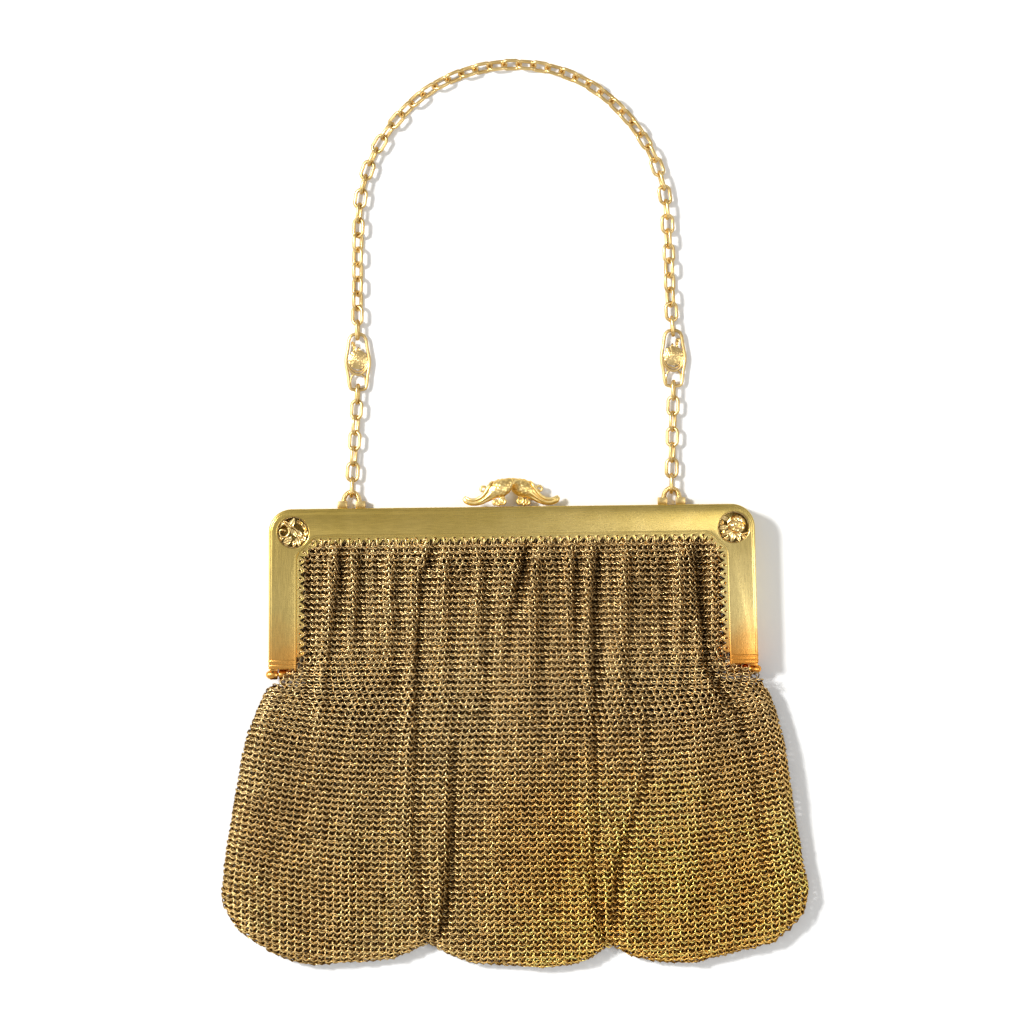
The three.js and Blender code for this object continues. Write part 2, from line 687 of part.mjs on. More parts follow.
// A rose link, centred, with its leaf on one side
function roseLink(side) {
  const half = ROSE_LINK_WIDTH / 2 - ROSE_LINK_WIRE / 2;
  const neck = ROSE_LINK_NECK / 2 - ROSE_LINK_WIRE / 2;
  const quarter = [
    [neck * 0.55, ROSE_BAR],
    [neck, ROSE_BAR * 0.88],
    [lerp(neck, half, 0.55), ROSE_BAR * 0.5],
    [half, 0],
    [lerp(neck, half, 0.45), -ROSE_BAR * 0.5],
    [neck * 1.08, -ROSE_BAR * 0.9],
    [neck * 0.85, -ROSE_BAR],
  ];
  const outline = quarter.concat(quarter.map(([x, y]) => [-x, y]).reverse());
  const corners = outline.map(([x, y]) => new THREE.Vector2(x, y)).reverse();
  const frame = toSolid(wireLoop(corners, ROSE_LINK_WIRE / 2, LINK_SIDES));
  const dip = ROSE_RADIUS + ROSE_LINK_WIRE;
  const cross = taperedRod([
    { x: -half * 0.96, y: -0.25 * dip, z: 0, r: ROSE_LINK_WIRE * 0.5 },
    { x: -half * 0.5, y: -0.87 * dip, z: 0, r: ROSE_LINK_WIRE * 0.6 },
    { x: half * 0.1, y: -dip, z: 0, r: ROSE_LINK_WIRE * 0.6 },
    { x: half * 0.93, y: -0.5 * dip, z: 0, r: ROSE_LINK_WIRE * 0.5 },
  ], 5, 5, 0.6);
  const rose = rosette(0, 0, ROSE_RADIUS * 1.03, -ROSE_LINK_WIRE / 2, ROSE_RISE + ROSE_LINK_WIRE / 2);
  const stalks = [-1, 1].map((way) => taperedRod([
    { x: way * ROSE_RADIUS * 0.7, y: 0, z: 0, r: ROSE_LINK_WIRE * 0.4 },
    { x: way * half, y: -0.1, z: 0, r: ROSE_LINK_WIRE * 0.3 },
  ], 5, 1));
  const spike = leaf(
    side * ROSE_RADIUS * 0.4, ROSE_RADIUS * 0.6, 90 - side * 5, ROSE_RADIUS * 0.9,
    ROSE_LINK_WIRE, -ROSE_LINK_WIRE * 0.35, ROSE_LINK_WIRE * 0.35,
  );
  return toGeometry(join([frame, cross, rose, spike, ...stalks]));
}

// The bag

const MOUTH_CUT = SHOULDER - (TOOTH_TIP - FACE_WIDTH) * (2 - Math.SQRT2);

function foldDepth(x, y) {
  const down = -y / BAG_DROP;
  let depth = 0;
  for (const fold of BAG_FOLDS) {
    const middle = lerp(fold.mouth, fold.hem, down) * BAG_WIDTH / 2;
    const away = (x - middle) / (fold.width * BAG_WIDTH / 2);
    const fade = 0.06;
    const start = THREE.MathUtils.smoothstep(down, fold.from - fade, fold.from + fade);
    const end = 1 - THREE.MathUtils.smoothstep(down, fold.to - fade, fold.to + fade);
    depth = Math.max(depth, fold.depth * Math.exp(-away * away) * start * end);
  }
  return depth * BAG_THICK;
}

function sideX(side, y) {
  return side * lookUp(BAG_SIDES, 'down', side < 0 ? 'left' : 'right', -y / BAG_DROP) * BAG_WIDTH / 2;
}

function hemY(x) {
  return -lookUp(BAG_HEM, 'across', 'down', x / (BAG_WIDTH / 2)) * BAG_DROP;
}

// Places across the bag at one row: the columns between the legs, which drift outwards towards the
// hem, and the outer ones, which spread from the last of them to the side edge
function columnX(column, y, open) {
  const down = THREE.MathUtils.clamp((SHOULDER_Y - y) / (BAG_DROP + SHOULDER_Y), 0, 1);
  const drift = (share) => share * MOUTH_HALF * (1 + 0.1 * down * share * share);
  if (!column.outer) return drift(column.share);
  const from = drift(column.side);
  return open ? lerp(from, sideX(column.side, y), column.outer) : from;
}

function bagColumns(shares) {
  const outer = (side) => OUTER_COLUMNS.map((share) => ({ side, outer: share }));
  return [
    ...outer(-1).reverse(),
    ...shares.map((share) => ({ share })),
    ...outer(1),
  ];
}

// The bag's outer skin, or its inner one where wall is the mesh's thickness
function bagSkin(wall) {
  const columns = bagColumns(wall === 0 ? MOUTH_COLUMNS : INNER_COLUMNS);
  const rows = [];
  const kept = (share, i, all) => wall === 0 || i === 0 || i === all.length - 1 || i % 2 === 1;
  const mouthRows = MOUTH_ROWS.filter(kept).map((share) => ({ share, open: false }));
  const bodyRows = BODY_ROWS.filter(kept).map((share) => ({ share, open: true }));
  for (const row of [...mouthRows, ...bodyRows]) {
    rows.push(columns.map((column) => {
      const shoulder = SHOULDER_Y - wall;
      const mouthX = columnX(column, 0, false);
      const cut = Math.max(0, Math.abs(mouthX) - MOUTH_HALF + MOUTH_CUT);
      const mouthY = wall > 0 ? MOUTH_Y + MOUTH_OVERRUN : MOUTH_Y - cut;
      let y;
      if (row.open) {
        const shareAcross = column.outer ? column.side : column.share;
        const hemX = column.outer
          ? lerp(mouthX * 1.1, column.side * BAG_WIDTH / 2, column.outer)
          : mouthX * (1 + 0.1 * shareAcross * shareAcross);
        y = lerp(shoulder - BAG_EDGE / 4, hemY(hemX) + wall, row.share);
      } else {
        y = lerp(mouthY, shoulder, row.share);
      }
      let x = columnX(column, y, row.open);
      if (wall > 0) x -= Math.sign(x) * wall * Math.min(1, Math.abs(x) / MOUTH_HALF);
      return { x, y, column, row };
    }));
  }
  const lastRow = rows.length - 1;
  const lastColumn = columns.length - 1;
  const heights = (point, i, j) => {
    const thick = BAG_THICK * lookUp(BAG_SWELL, 'down', 'thick', -point.y / BAG_DROP);
    const top = thick - foldDepth(point.x, point.y) - wall;
    const bottom = wall;
    if (!point.row.open) return { top, bottom };
    const fromSide = Math.min(j, lastColumn - j);
    const fromHem = lastRow - i;
    const lift = [1, 0.4, 0.08][Math.min(fromSide, fromHem, 2)];
    const middle = (thick - wall) / 2 + wall / 2;
    const half = Math.max(BAG_EDGE / 2 - wall * 0.45, 0.15);
    return {
      top: lerp(top, middle + half, fromSide < 2 || fromHem < 2 ? lift : 0),
      bottom: lerp(bottom, middle - half, Math.min(fromSide, fromHem) < 1 ? 1 : 0),
    };
  };
  const positions = [];
  const front = rows.map(() => []);
  const back = rows.map(() => []);
  rows.forEach((points, i) => points.forEach((point, j) => {
    const { top, bottom } = heights(point, i, j);
    front[i][j] = positions.length / 3;
    positions.push(point.x, point.y, top);
    back[i][j] = positions.length / 3;
    positions.push(point.x, point.y, bottom);
  }));
  const faces = [];
  const quad = (a, b, c, d) => faces.push(a, b, c, a, c, d);
  const isRim = (i, j) => j === 0 || j === lastColumn - 1 || i === lastRow - 1;
  for (let i = 0; i < lastRow; i += 1) {
    for (let j = 0; j < lastColumn; j += 1) {
      quad(front[i][j], front[i + 1][j], front[i + 1][j + 1], front[i][j + 1]);
      if (isRim(i, j)) quad(back[i][j], back[i][j + 1], back[i + 1][j + 1], back[i + 1][j]);
    }
    quad(front[i][0], back[i][0], back[i + 1][0], front[i + 1][0]);
    quad(
      back[i][lastColumn], front[i][lastColumn], front[i + 1][lastColumn], back[i + 1][lastColumn],
    );
  }
  for (let j = 0; j < lastColumn; j += 1) {
    quad(back[0][j], front[0][j], front[0][j + 1], back[0][j + 1]);
    quad(front[lastRow][j], back[lastRow][j], back[lastRow][j + 1], front[lastRow][j + 1]);
  }
  const ring = [];
  for (let i = 0; i < lastRow; i += 1) ring.push([i, 1]);
  for (let j = 2; j < lastColumn; j += 1) ring.push([lastRow - 1, j]);
  for (let i = lastRow - 2; i >= 0; i -= 1) ring.push([i, lastColumn - 1]);
  for (let j = lastColumn - 2; j > 1; j -= 1) ring.push([0, j]);
  const contour = ring.map(([i, j]) => new THREE.Vector2(rows[i][j].x, rows[i][j].y));
  for (const [a, b, c] of THREE.ShapeUtils.triangulateShape(contour, [])) {
    const [p, q, r] = [a, b, c].map((k) => back[ring[k][0]][ring[k][1]]);
    faces.push(p, r, q);
  }
  const geometry = new THREE.BufferGeometry();
  geometry.setAttribute('position', new THREE.Float32BufferAttribute(positions, 3));
  geometry.setIndex(faces);
  return toSolid(geometry);
}

// The hollow bag, open at the mouth and, between the legs, down both sides to the hinge
function meshBag() {
  let bag = bagSkin(0).subtract(bagSkin(MESH_WALL));
  for (const side of [-1, 1]) {
    const ends = [side * (MOUTH_HALF - 2 * MESH_WALL), side * (MOUTH_HALF + 1)];
    bag = bag.subtract(block(
      Math.min(...ends), Math.max(...ends), SHOULDER_Y + MESH_WALL, 0,
      MESH_WALL, BAG_THICK - MESH_WALL * 1.3,
    ));
  }
  return toGeometry(bag);
}

// Metals

const satinGold = { color: 0xb5a468, roughness: 0.38, metalness: 1 };
const brightGold = { color: 0xe0b860, roughness: 0.22, metalness: 1 };
const chainGold = { color: 0xdcc184, roughness: 0.28, metalness: 1 };
const meshGold = { color: 0x9c7f4a, roughness: 0.45, metalness: 0.9 };

function piece(name, geometry, finish, x = 0, y = 0, z = 0) {
  const mesh = new THREE.Mesh(geometry, new THREE.MeshStandardMaterial(finish));
  mesh.name = name;
  mesh.position.set(x, y, z);
  return mesh;
}

// The assembly

const purse = new THREE.Group();

const frontJaw = jaw({ knuckles: [0, 2], windows: true, bands: 2 });
purse.add(piece('front_frame', frontJaw, satinGold, 0, 0, FRONT_Z));

const backJaw = jaw({ knuckles: [1], windows: false, bands: 0 });
const backFrame = piece('back_frame', backJaw, satinGold, 0, 0, JAW_DEPTH);
backFrame.rotation.y = Math.PI;
purse.add(backFrame);

const faceZ = FRONT_Z + JAW_DEPTH;
const windowX = HALF_FRAME - WINDOW_IN;
purse.add(piece('roundel_left', budOrnament(), brightGold, -windowX, -WINDOW_DOWN, faceZ));
purse.add(piece('roundel_right', roseOrnament(), brightGold, windowX, -WINDOW_DOWN, faceZ));

const claspStand = CLASP_THICK / 2 + GAP / 2;
const splitZ = JAW_DEPTH + GAP / 2;
purse.add(piece('clasp_left', claspHalf(), brightGold, 0, 0, splitZ + claspStand));
const claspRight = piece('clasp_right', claspHalf(), brightGold, 0, 0, splitZ - claspStand);
claspRight.rotation.y = Math.PI;
purse.add(claspRight);

for (const [name, side] of [['left', -1], ['right', 1]]) {
  const pin = piece(`hinge_pin_${name}`, hingePin(), satinGold, side * legCentreX(), HINGE_Y, splitZ);
  pin.rotation.z = Math.PI / 2;
  purse.add(pin);
  purse.add(piece(`chain_eye_${name}`, chainEye(), satinGold, side * EYE_SPACING / 2, 0, EYE_Z));
  purse.add(piece(`chain_lower_${name}`, lowerChain(side), chainGold));
  purse.add(piece(
    `rose_link_${name}`, roseLink(side), chainGold, roseX(side), ROSE_HEIGHT, LINK_STAND_Z - GAP,
  ));
}
purse.add(piece('chain_upper', upperChain(), chainGold));
purse.add(piece('mesh_bag', meshBag(), meshGold));

purse.updateMatrixWorld(true);
const extent = new THREE.Box3().setFromObject(purse, true);
purse.position.set(-(extent.min.x + extent.max.x) / 2, -(extent.min.y + extent.max.y) / 2, 0);

const group = new THREE.Group();
group.add(purse);

export default group;
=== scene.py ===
# %% [markdown]
# # A gold ring-mesh evening purse
#
# The purse lies on its back with its chain handle spread above it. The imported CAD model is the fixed
# frame that everything is built around: it says where each piece sits and how large it is. Each step
# below dresses one of its pieces. The jaws, chain, clasp and ornaments are rigid metal, and the bag is
# a sheet of many thousand small rings.

# %% Load the frame that everything is built around
import math

import bmesh
import bpy
import numpy as np
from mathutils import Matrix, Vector


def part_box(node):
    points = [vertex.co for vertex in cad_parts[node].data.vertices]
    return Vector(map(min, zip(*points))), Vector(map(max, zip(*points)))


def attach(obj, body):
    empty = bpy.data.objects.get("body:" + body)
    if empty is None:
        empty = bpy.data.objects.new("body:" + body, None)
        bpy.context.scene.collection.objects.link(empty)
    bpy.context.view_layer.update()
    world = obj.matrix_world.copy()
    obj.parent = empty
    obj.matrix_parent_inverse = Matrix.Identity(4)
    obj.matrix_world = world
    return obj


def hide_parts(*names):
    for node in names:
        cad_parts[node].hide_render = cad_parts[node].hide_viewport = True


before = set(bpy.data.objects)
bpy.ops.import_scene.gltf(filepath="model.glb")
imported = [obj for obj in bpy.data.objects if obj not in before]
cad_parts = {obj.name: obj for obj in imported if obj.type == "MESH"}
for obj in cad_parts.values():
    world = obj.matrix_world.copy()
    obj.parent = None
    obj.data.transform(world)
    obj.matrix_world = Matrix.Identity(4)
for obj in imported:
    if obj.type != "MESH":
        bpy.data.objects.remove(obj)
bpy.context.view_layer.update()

print("CAD nodes:", ", ".join(sorted(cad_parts)))

# %% [markdown]
# ## Sizes
#
# A maker works on this purse in millimetres, measured down from the frame's top edge and out from its
# middle, so the script does too. One function turns such points into the metres of the shared frame,
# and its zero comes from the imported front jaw, so a change there moves every piece with it.

# %% Millimetres from the middle of the frame's top edge
jaw_low, jaw_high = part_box("front_frame")
MM = 0.001
FRAME_TOP = np.array([(jaw_low.x + jaw_high.x) / 2, jaw_high.y, 0.0])
GAP = 0.3
FRAME_WIDTH = 126.4
FRAME_CORNER = 6.0
LEG_LENGTH = 41.5
LEG_SPLAY = 0.5
FACE_WIDTH = 7.2
FACE_THICK = 1.0
RIM_THICK = 1.2
JAW_DEPTH = 4.2
SHOULDER = 4.7
TOOTH_TIP = 9.2
TOOTH_PITCH = 2.5
TOOTH_DEPTH = 1.2
KNUCKLE_RADIUS = 1.3
SPLIT_Z = JAW_DEPTH + GAP / 2
FACE_Z = 2 * JAW_DEPTH + GAP
HALF_FRAME = FRAME_WIDTH / 2
HINGE_Y = -(LEG_LENGTH + GAP + KNUCKLE_RADIUS)


def to_metres(points):
    return np.asarray(points, float) * MM + FRAME_TOP


print("zero of the millimetres:", FRAME_TOP)

# %% [markdown]
# ## Tools for shapes
#
# Most rigid pieces here are bent wire or cut sheet, so two helpers cover them. `tube` sweeps a round or
# flattened section along a path and closes both ends with a dome. `plate` cuts a flat outline with its
# holes from sheet and rounds its edges, by way of a filled 2D curve. `solid` gathers such shells into
# one object, merges their doubles, turns the faces outwards and keeps the sharp edges sharp.

# %% Curves through points
def spline(points, steps=12):
    """Dense points on a centripetal Catmull-Rom curve; columns past the third ride along."""
    p = np.asarray(points, float)
    p = np.vstack([2 * p[0] - p[1], p, 2 * p[-1] - p[-2]])
    share = np.linspace(0, 1, steps, endpoint=False)[:, None]
    parts = []
    for a, b, c, d in zip(p, p[1:], p[2:], p[3:]):
        ab, bc, cd = (max(math.sqrt(math.dist(q[:3], r[:3])), 1e-9) for q, r in ((a, b), (b, c), (c, d)))
        start = ((b - a) / ab - (c - a) / (ab + bc) + (c - b) / bc) * bc
        end = ((c - b) / bc - (d - b) / (bc + cd) + (d - c) / cd) * bc
        square, cube = share ** 2, share ** 3
        parts.append(b + start * share + (3 * (c - b) - 2 * start - end) * square
                     + (2 * (b - c) + start + end) * cube)
    parts.append(p[-2][None])
    return np.vstack(parts)


def evenly(points, count):
    """The same line cut into equal lengths."""
    p = np.asarray(points, float)
    run = np.concatenate([[0], np.cumsum(np.linalg.norm(np.diff(p[:, :3], axis=0), axis=1))])
    places = np.linspace(0, run[-1], count)
    return np.stack([np.interp(places, run, column) for column in p.T], axis=1)


def unit(vectors):
    vectors = np.asarray(vectors, float)
    return vectors / np.maximum(np.linalg.norm(vectors, axis=-1, keepdims=True), 1e-12)


# %% Wire, sheet and turned shells
def tube(path, radius, sides=10, closed=False, flat=1.0, up=(0, 0, 1)):
    path = np.asarray(path, float)
    radius = np.broadcast_to(np.asarray(radius, float), (len(path),)).copy()
    if closed:
        along = unit(np.roll(path, -1, 0) - np.roll(path, 1, 0))
    else:
        along = unit(np.vstack([path[1:], path[-1:]]) - np.vstack([path[:1], path[:-1]]))
        ends = np.radians([75, 50, 25])
        low = [path[0] - along[0] * radius[0] * math.sin(a) for a in ends]
        high = [path[-1] + along[-1] * radius[-1] * math.sin(a) for a in ends[::-1]]
        low_r = [radius[0] * math.cos(a) for a in ends]
        high_r = [radius[-1] * math.cos(a) for a in ends[::-1]]
        path = np.vstack([low, path, high])
        along = np.vstack([np.repeat(along[:1], 3, 0), along, np.repeat(along[-1:], 3, 0)])
        radius = np.concatenate([low_r, radius, high_r])
    across = unit(np.cross(np.asarray(up, float), along))
    over = np.cross(along, across)
    turn = np.linspace(0, 2 * math.pi, sides, endpoint=False)[None, :, None]
    rings = path[:, None] + radius[:, None, None] * (
        np.cos(turn) * across[:, None] + flat * np.sin(turn) * over[:, None])
    count = len(path)
    verts = rings.reshape(-1, 3)
    faces = []
    for i in range(count if closed else count - 1):
        for j in range(sides):
            a, b = i * sides + j, i * sides + (j + 1) % sides
            c, d = ((i + 1) % count) * sides + (j + 1) % sides, ((i + 1) % count) * sides + j
            faces.append((a, b, c, d))
    if not closed:
        faces.append(tuple(range(sides))[::-1])
        faces.append(tuple((count - 1) * sides + j for j in range(sides)))
    return verts, faces


def signed_area(outline):
    x, y = np.asarray(outline, float).T
    return 0.5 * np.sum(x * np.roll(y, -1) - y * np.roll(x, -1))


def plate(outlines, low, high, round_edge=0.0, steps=2):
    """Sheet metal with its outer outline first and holes after it."""
    curve = bpy.data.curves.new("sheet", "CURVE")
    curve.dimensions = "2D"
    curve.fill_mode = "BOTH"
    curve.extrude = (high - low) / 2 - round_edge
    curve.bevel_depth = round_edge
    curve.bevel_resolution = steps
    curve.offset = -round_edge
    for i, outline in enumerate(outlines):
        outline = np.asarray(outline, float)
        if (signed_area(outline) > 0) == (i == 0):
            outline = outline[::-1]
        line = curve.splines.new("POLY")
        line.points.add(len(outline) - 1)
        line.points.foreach_set("co", np.pad(outline, ((0, 0), (0, 2))).ravel())
        line.use_cyclic_u = True
    holder = bpy.data.objects.new("sheet", curve)
    bpy.context.scene.collection.objects.link(holder)
    bpy.context.view_layer.update()
    mesh = bpy.data.meshes.new_from_object(holder.evaluated_get(bpy.context.evaluated_depsgraph_get()))
    verts = np.array([v.co for v in mesh.vertices]) + (0, 0, (low + high) / 2)
    faces = [tuple(p.vertices) for p in mesh.polygons]
    bpy.data.objects.remove(holder)
    bpy.data.curves.remove(curve)
    bpy.data.meshes.remove(mesh)
    return verts, faces


def turned(profile, sides=20, axis="z"):
    """A profile of (radius, height) turned on a lathe, its first and last radius zero."""
    profile = np.asarray(profile, float)
    turn = np.linspace(0, 2 * math.pi, sides, endpoint=False)
    verts = [[r * math.cos(t), r * math.sin(t), h] for r, h in profile[1:-1] for t in turn]
    verts += [[0, 0, profile[0][1]], [0, 0, profile[-1][1]]]
    rows, pole = len(profile) - 2, len(verts) - 2
    faces = []
    for j in range(sides):
        k = (j + 1) % sides
        faces.append((pole, k, j))
        faces.append((pole + 1, (rows - 1) * sides + j, (rows - 1) * sides + k))
        faces += [(i * sides + j, i * sides + k, (i + 1) * sides + k, (i + 1) * sides + j)
                  for i in range(rows - 1)]
    verts = np.array(verts)
    if axis == "x":
        verts = verts[:, [2, 0, 1]]
    return verts, faces


def moved(shell, x=0.0, y=0.0, z=0.0, degrees=0.0):
    verts, faces = shell
    c, s = math.cos(math.radians(degrees)), math.sin(math.radians(degrees))
    verts = np.asarray(verts, float)
    turned_round = np.stack([verts[:, 0] * c - verts[:, 1] * s, verts[:, 0] * s + verts[:, 1] * c,
                             verts[:, 2]], axis=1)
    return turned_round + (x, y, z), faces


# %% Shells gathered into one object of the scene
def solid(name, shells, material, sharp=38):
    """Shells are (points, faces), or (points, faces, hollows), where hollows darkens the colour in recesses: part
    patina, part painted shade.
    """
    verts, faces, hollows = [], [], []
    for shell in shells:
        base = len(verts)
        verts.extend(to_metres(shell[0]).tolist())
        faces.extend(tuple(base + i for i in face) for face in shell[1])
        hollows.extend(shell[2] if len(shell) > 2 else [0.0] * len(shell[0]))
    mesh = bpy.data.meshes.new(name)
    mesh.from_pydata(verts, [], faces)
    mesh.attributes.new("hollow", "FLOAT", "POINT").data.foreach_set("value", np.array(hollows, np.float32))
    work = bmesh.new()
    work.from_mesh(mesh)
    bmesh.ops.remove_doubles(work, verts=work.verts, dist=2e-6)
    bmesh.ops.recalc_face_normals(work, faces=work.faces)
    work.to_mesh(mesh)
    work.free()
    mesh.validate()
    mesh.shade_smooth()
    mesh.set_sharp_from_angle(angle=math.radians(sharp))
    mesh.materials.append(material)
    piece = bpy.data.objects.new(name, mesh)
    bpy.context.scene.collection.objects.link(piece)
    return piece


def dress(piece, slot, *nodes):
    """The piece rides on the purse and stands for CAD nodes, which it hides. The slot is not used."""
    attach(piece, "root")
    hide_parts(*nodes)
    triangles = sum(len(p.vertices) - 2 for p in piece.data.polygons)
    print(f"{piece.name}: {triangles} triangles, stands for {', '.join(nodes)}")


print("shape tools ready")

# %% [markdown]
# ## Camera, light and table
#
# The purse was photographed from straight above with a long lens, turned by less than a degree. One
# soft lamp at the upper left gives the plain shadow that falls to the lower right. Large dim panels
# stand round the table, because polished metal shows little more than what it reflects.

# %% Camera
FIELD_MM = 266.2
LENS_MM = 180.0
SENSOR_MM = 36.0
CAMERA_ROLL = -0.7
camera_data = bpy.data.cameras.new("camera")
camera_data.lens = LENS_MM
camera_data.sensor_width = SENSOR_MM
camera_data.clip_end = 20.0
camera = bpy.data.objects.new("camera", camera_data)
camera_height = FIELD_MM * MM * LENS_MM / SENSOR_MM + FACE_Z * MM
camera.location = (0.30 * MM, -0.26 * MM, camera_height)
camera.rotation_euler = (0.0, 0.0, math.radians(CAMERA_ROLL))
bpy.context.scene.collection.objects.link(camera)
bpy.context.scene.camera = camera
print("camera height", round(camera_height, 3), "m")

# %% Lamps and panels
def panel(name, place, size, power, colour=(1.0, 1.0, 1.0)):
    data = bpy.data.lights.new(name, "AREA")
    data.shape = "RECTANGLE"
    data.size, data.size_y = size
    data.energy = power
    data.color = colour
    lamp = bpy.data.objects.new(name, data)
    lamp.location = place
    lamp.rotation_euler = (-Vector(place)).to_track_quat("-Z", "Y").to_euler()
    lamp.visible_camera = False
    bpy.context.scene.collection.objects.link(lamp)
    return lamp


panel("key_lamp", (-1.00, 0.42, 1.20), (0.22, 0.22), 27.0)
panel("left_panel", (-1.5, -0.2, 0.7), (0.8, 1.6), 5.0)
panel("right_panel", (0.72, -0.22, 1.25), (0.6, 0.9), 5.5)
panel("near_panel", (0.0, -1.3, 0.6), (2.0, 0.6), 2.0)

world = bpy.data.worlds.new("studio")
bpy.context.scene.world = world
world.use_nodes = True
world.node_tree.nodes["Background"].inputs["Color"].default_value = (1.0, 1.0, 1.0, 1.0)
world.node_tree.nodes["Background"].inputs["Strength"].default_value = 0.42
bpy.context.scene.view_settings.view_transform = "Standard"

# %% The white table
table_mesh = bpy.data.meshes.new("table")
TABLE_HALF = 6.0
table_mesh.from_pydata([(-TABLE_HALF, -TABLE_HALF, 0), (TABLE_HALF, -TABLE_HALF, 0),
                        (TABLE_HALF, TABLE_HALF, 0), (-TABLE_HALF, TABLE_HALF, 0)], [], [(0, 1, 2, 3)])
table = bpy.data.objects.new("table", table_mesh)
bpy.context.scene.collection.objects.link(table)
paint = bpy.data.materials.new("white_table")
paint.use_nodes = True
paint.node_tree.nodes["Principled BSDF"].inputs["Base Color"].default_value = (0.9, 0.9, 0.89, 1.0)
paint.node_tree.nodes["Principled BSDF"].inputs["Roughness"].default_value = 0.9
table_mesh.materials.append(paint)
print("stage ready")

# %% [markdown]
# ## Finishes
#
# All of the purse is one gold alloy, finished in four ways: brushed on the jaws, bright on the cast
# ornaments, pale and worn on the chain, and dark in the ring mesh, partly with age and partly with
# painted shade. Three effects come back in several of them, so each is a node group: a slow change of
# tint, fine brush lines, and a ragged band that creeps up from the hinges. The band lays a copper
# tarnish on the feet of the jaws, a warmer lower mesh, and a painted highlight on the legs of the jaws.
# A group gives out only values. Every metal then has its own shader.

# %% Helpers for node trees
def new_group(name, inputs, outputs):
    group = bpy.data.node_groups.new(name, "ShaderNodeTree")
    for label, kind, value in inputs:
        socket = group.interface.new_socket(label, in_out="INPUT", socket_type=kind)
        if value is not None:
            socket.default_value = value
    for label, kind in outputs:
        group.interface.new_socket(label, in_out="OUTPUT", socket_type=kind)
    return group, group.nodes.new("NodeGroupInput"), group.nodes.new("NodeGroupOutput")


def math_node(tree, operation, first, second=None, third=None):
    node = tree.nodes.new("ShaderNodeMath")
    node.operation = operation
    for i, value in enumerate((first, second, third)):
        if isinstance(value, (int, float)):
            node.inputs[i].default_value = value
        elif value is not None:
            tree.links.new(value, node.inputs[i])
    return node.outputs[0]


def noise(tree, vector, scale, detail=2.0, roughness=0.5):
    node = tree.nodes.new("ShaderNodeTexNoise")
    node.inputs["Detail"].default_value = detail
    node.inputs["Roughness"].default_value = roughness
    if isinstance(scale, (int, float)):
        node.inputs["Scale"].default_value = scale
    else:
        tree.links.new(scale, node.inputs["Scale"])
    tree.links.new(vector, node.inputs["Vector"])
    return node.outputs["Fac"]


def stretched(tree, vector, scale):
    node = tree.nodes.new("ShaderNodeMapping")
    node.inputs["Scale"].default_value = scale
    tree.links.new(vector, node.inputs["Vector"])
    return node.outputs[0]


def ranged(tree, value, low, high, to_low, to_high):
    node = tree.nodes.new("ShaderNodeMapRange")
    node.interpolation_type = "SMOOTHSTEP"
    for label, number in (("From Min", low), ("From Max", high), ("To Min", to_low), ("To Max", to_high)):
        if isinstance(number, (int, float)):
            node.inputs[label].default_value = number
        else:
            tree.links.new(number, node.inputs[label])
    tree.links.new(value, node.inputs["Value"])
    return node.outputs["Result"]


def mixed(tree, share, first, second, blend="MIX"):
    node = tree.nodes.new("ShaderNodeMix")
    node.data_type = "RGBA"
    node.blend_type = blend
    for socket, value in ((node.inputs["Factor"], share), (node.inputs["A"], first), (node.inputs["B"], second)):
        if isinstance(value, bpy.types.NodeSocket):
            tree.links.new(value, socket)
        else:
            socket.default_value = value
    return node.outputs["Result"]


# %% The three shared effects
tint_group, tint_in, tint_out = new_group(
    "slow_tint",
    [("Vector", "NodeSocketVector", None), ("Scale", "NodeSocketFloat", 30.0),
     ("Main", "NodeSocketColor", (0.8, 0.6, 0.2, 1)), ("Other", "NodeSocketColor", (0.7, 0.5, 0.2, 1))],
    [("Color", "NodeSocketColor")])
cloud = noise(tint_group, tint_in.outputs["Vector"], tint_in.outputs["Scale"], 3.0, 0.6)
tint_group.links.new(mixed(tint_group, ranged(tint_group, cloud, 0.36, 0.64, 0.0, 1.0),
                           tint_in.outputs["Main"], tint_in.outputs["Other"]), tint_out.inputs["Color"])

brush_group, brush_in, brush_out = new_group(
    "brush_lines",
    [("Vector", "NodeSocketVector", None), ("Rough", "NodeSocketFloat", 0.35),
     ("Rough Change", "NodeSocketFloat", 0.1), ("Legs From", "NodeSocketFloat", 1.0)],
    [("Height", "NodeSocketFloat"), ("Roughness", "NodeSocketFloat")])
LONG, SHORT = 350.0, 9000.0
along_x = noise(brush_group, stretched(brush_group, brush_in.outputs["Vector"], (LONG, SHORT, SHORT)), 1.0, 2.0)
along_y = noise(brush_group, stretched(brush_group, brush_in.outputs["Vector"], (SHORT, LONG, SHORT)), 1.0, 2.0)
split = brush_group.nodes.new("ShaderNodeSeparateXYZ")
brush_group.links.new(brush_in.outputs["Vector"], split.inputs[0])
from_middle = math_node(brush_group, "ABSOLUTE", split.outputs["X"])
on_legs = math_node(brush_group, "GREATER_THAN", from_middle, brush_in.outputs["Legs From"])
turned_lines = math_node(brush_group, "MULTIPLY_ADD", on_legs, 0.7, 0.15)
blend = brush_group.nodes.new("ShaderNodeMix")
brush_group.links.new(turned_lines, blend.inputs["Factor"])
brush_group.links.new(along_x, blend.inputs["A"])
brush_group.links.new(along_y, blend.inputs["B"])
lines = blend.outputs["Result"]
brush_group.links.new(lines, brush_out.inputs["Height"])
change = math_node(brush_group, "MULTIPLY", math_node(brush_group, "SUBTRACT", lines, 0.5),
                   brush_in.outputs["Rough Change"])
brush_group.links.new(math_node(brush_group, "ADD", change, brush_in.outputs["Rough"]),
                      brush_out.inputs["Roughness"])

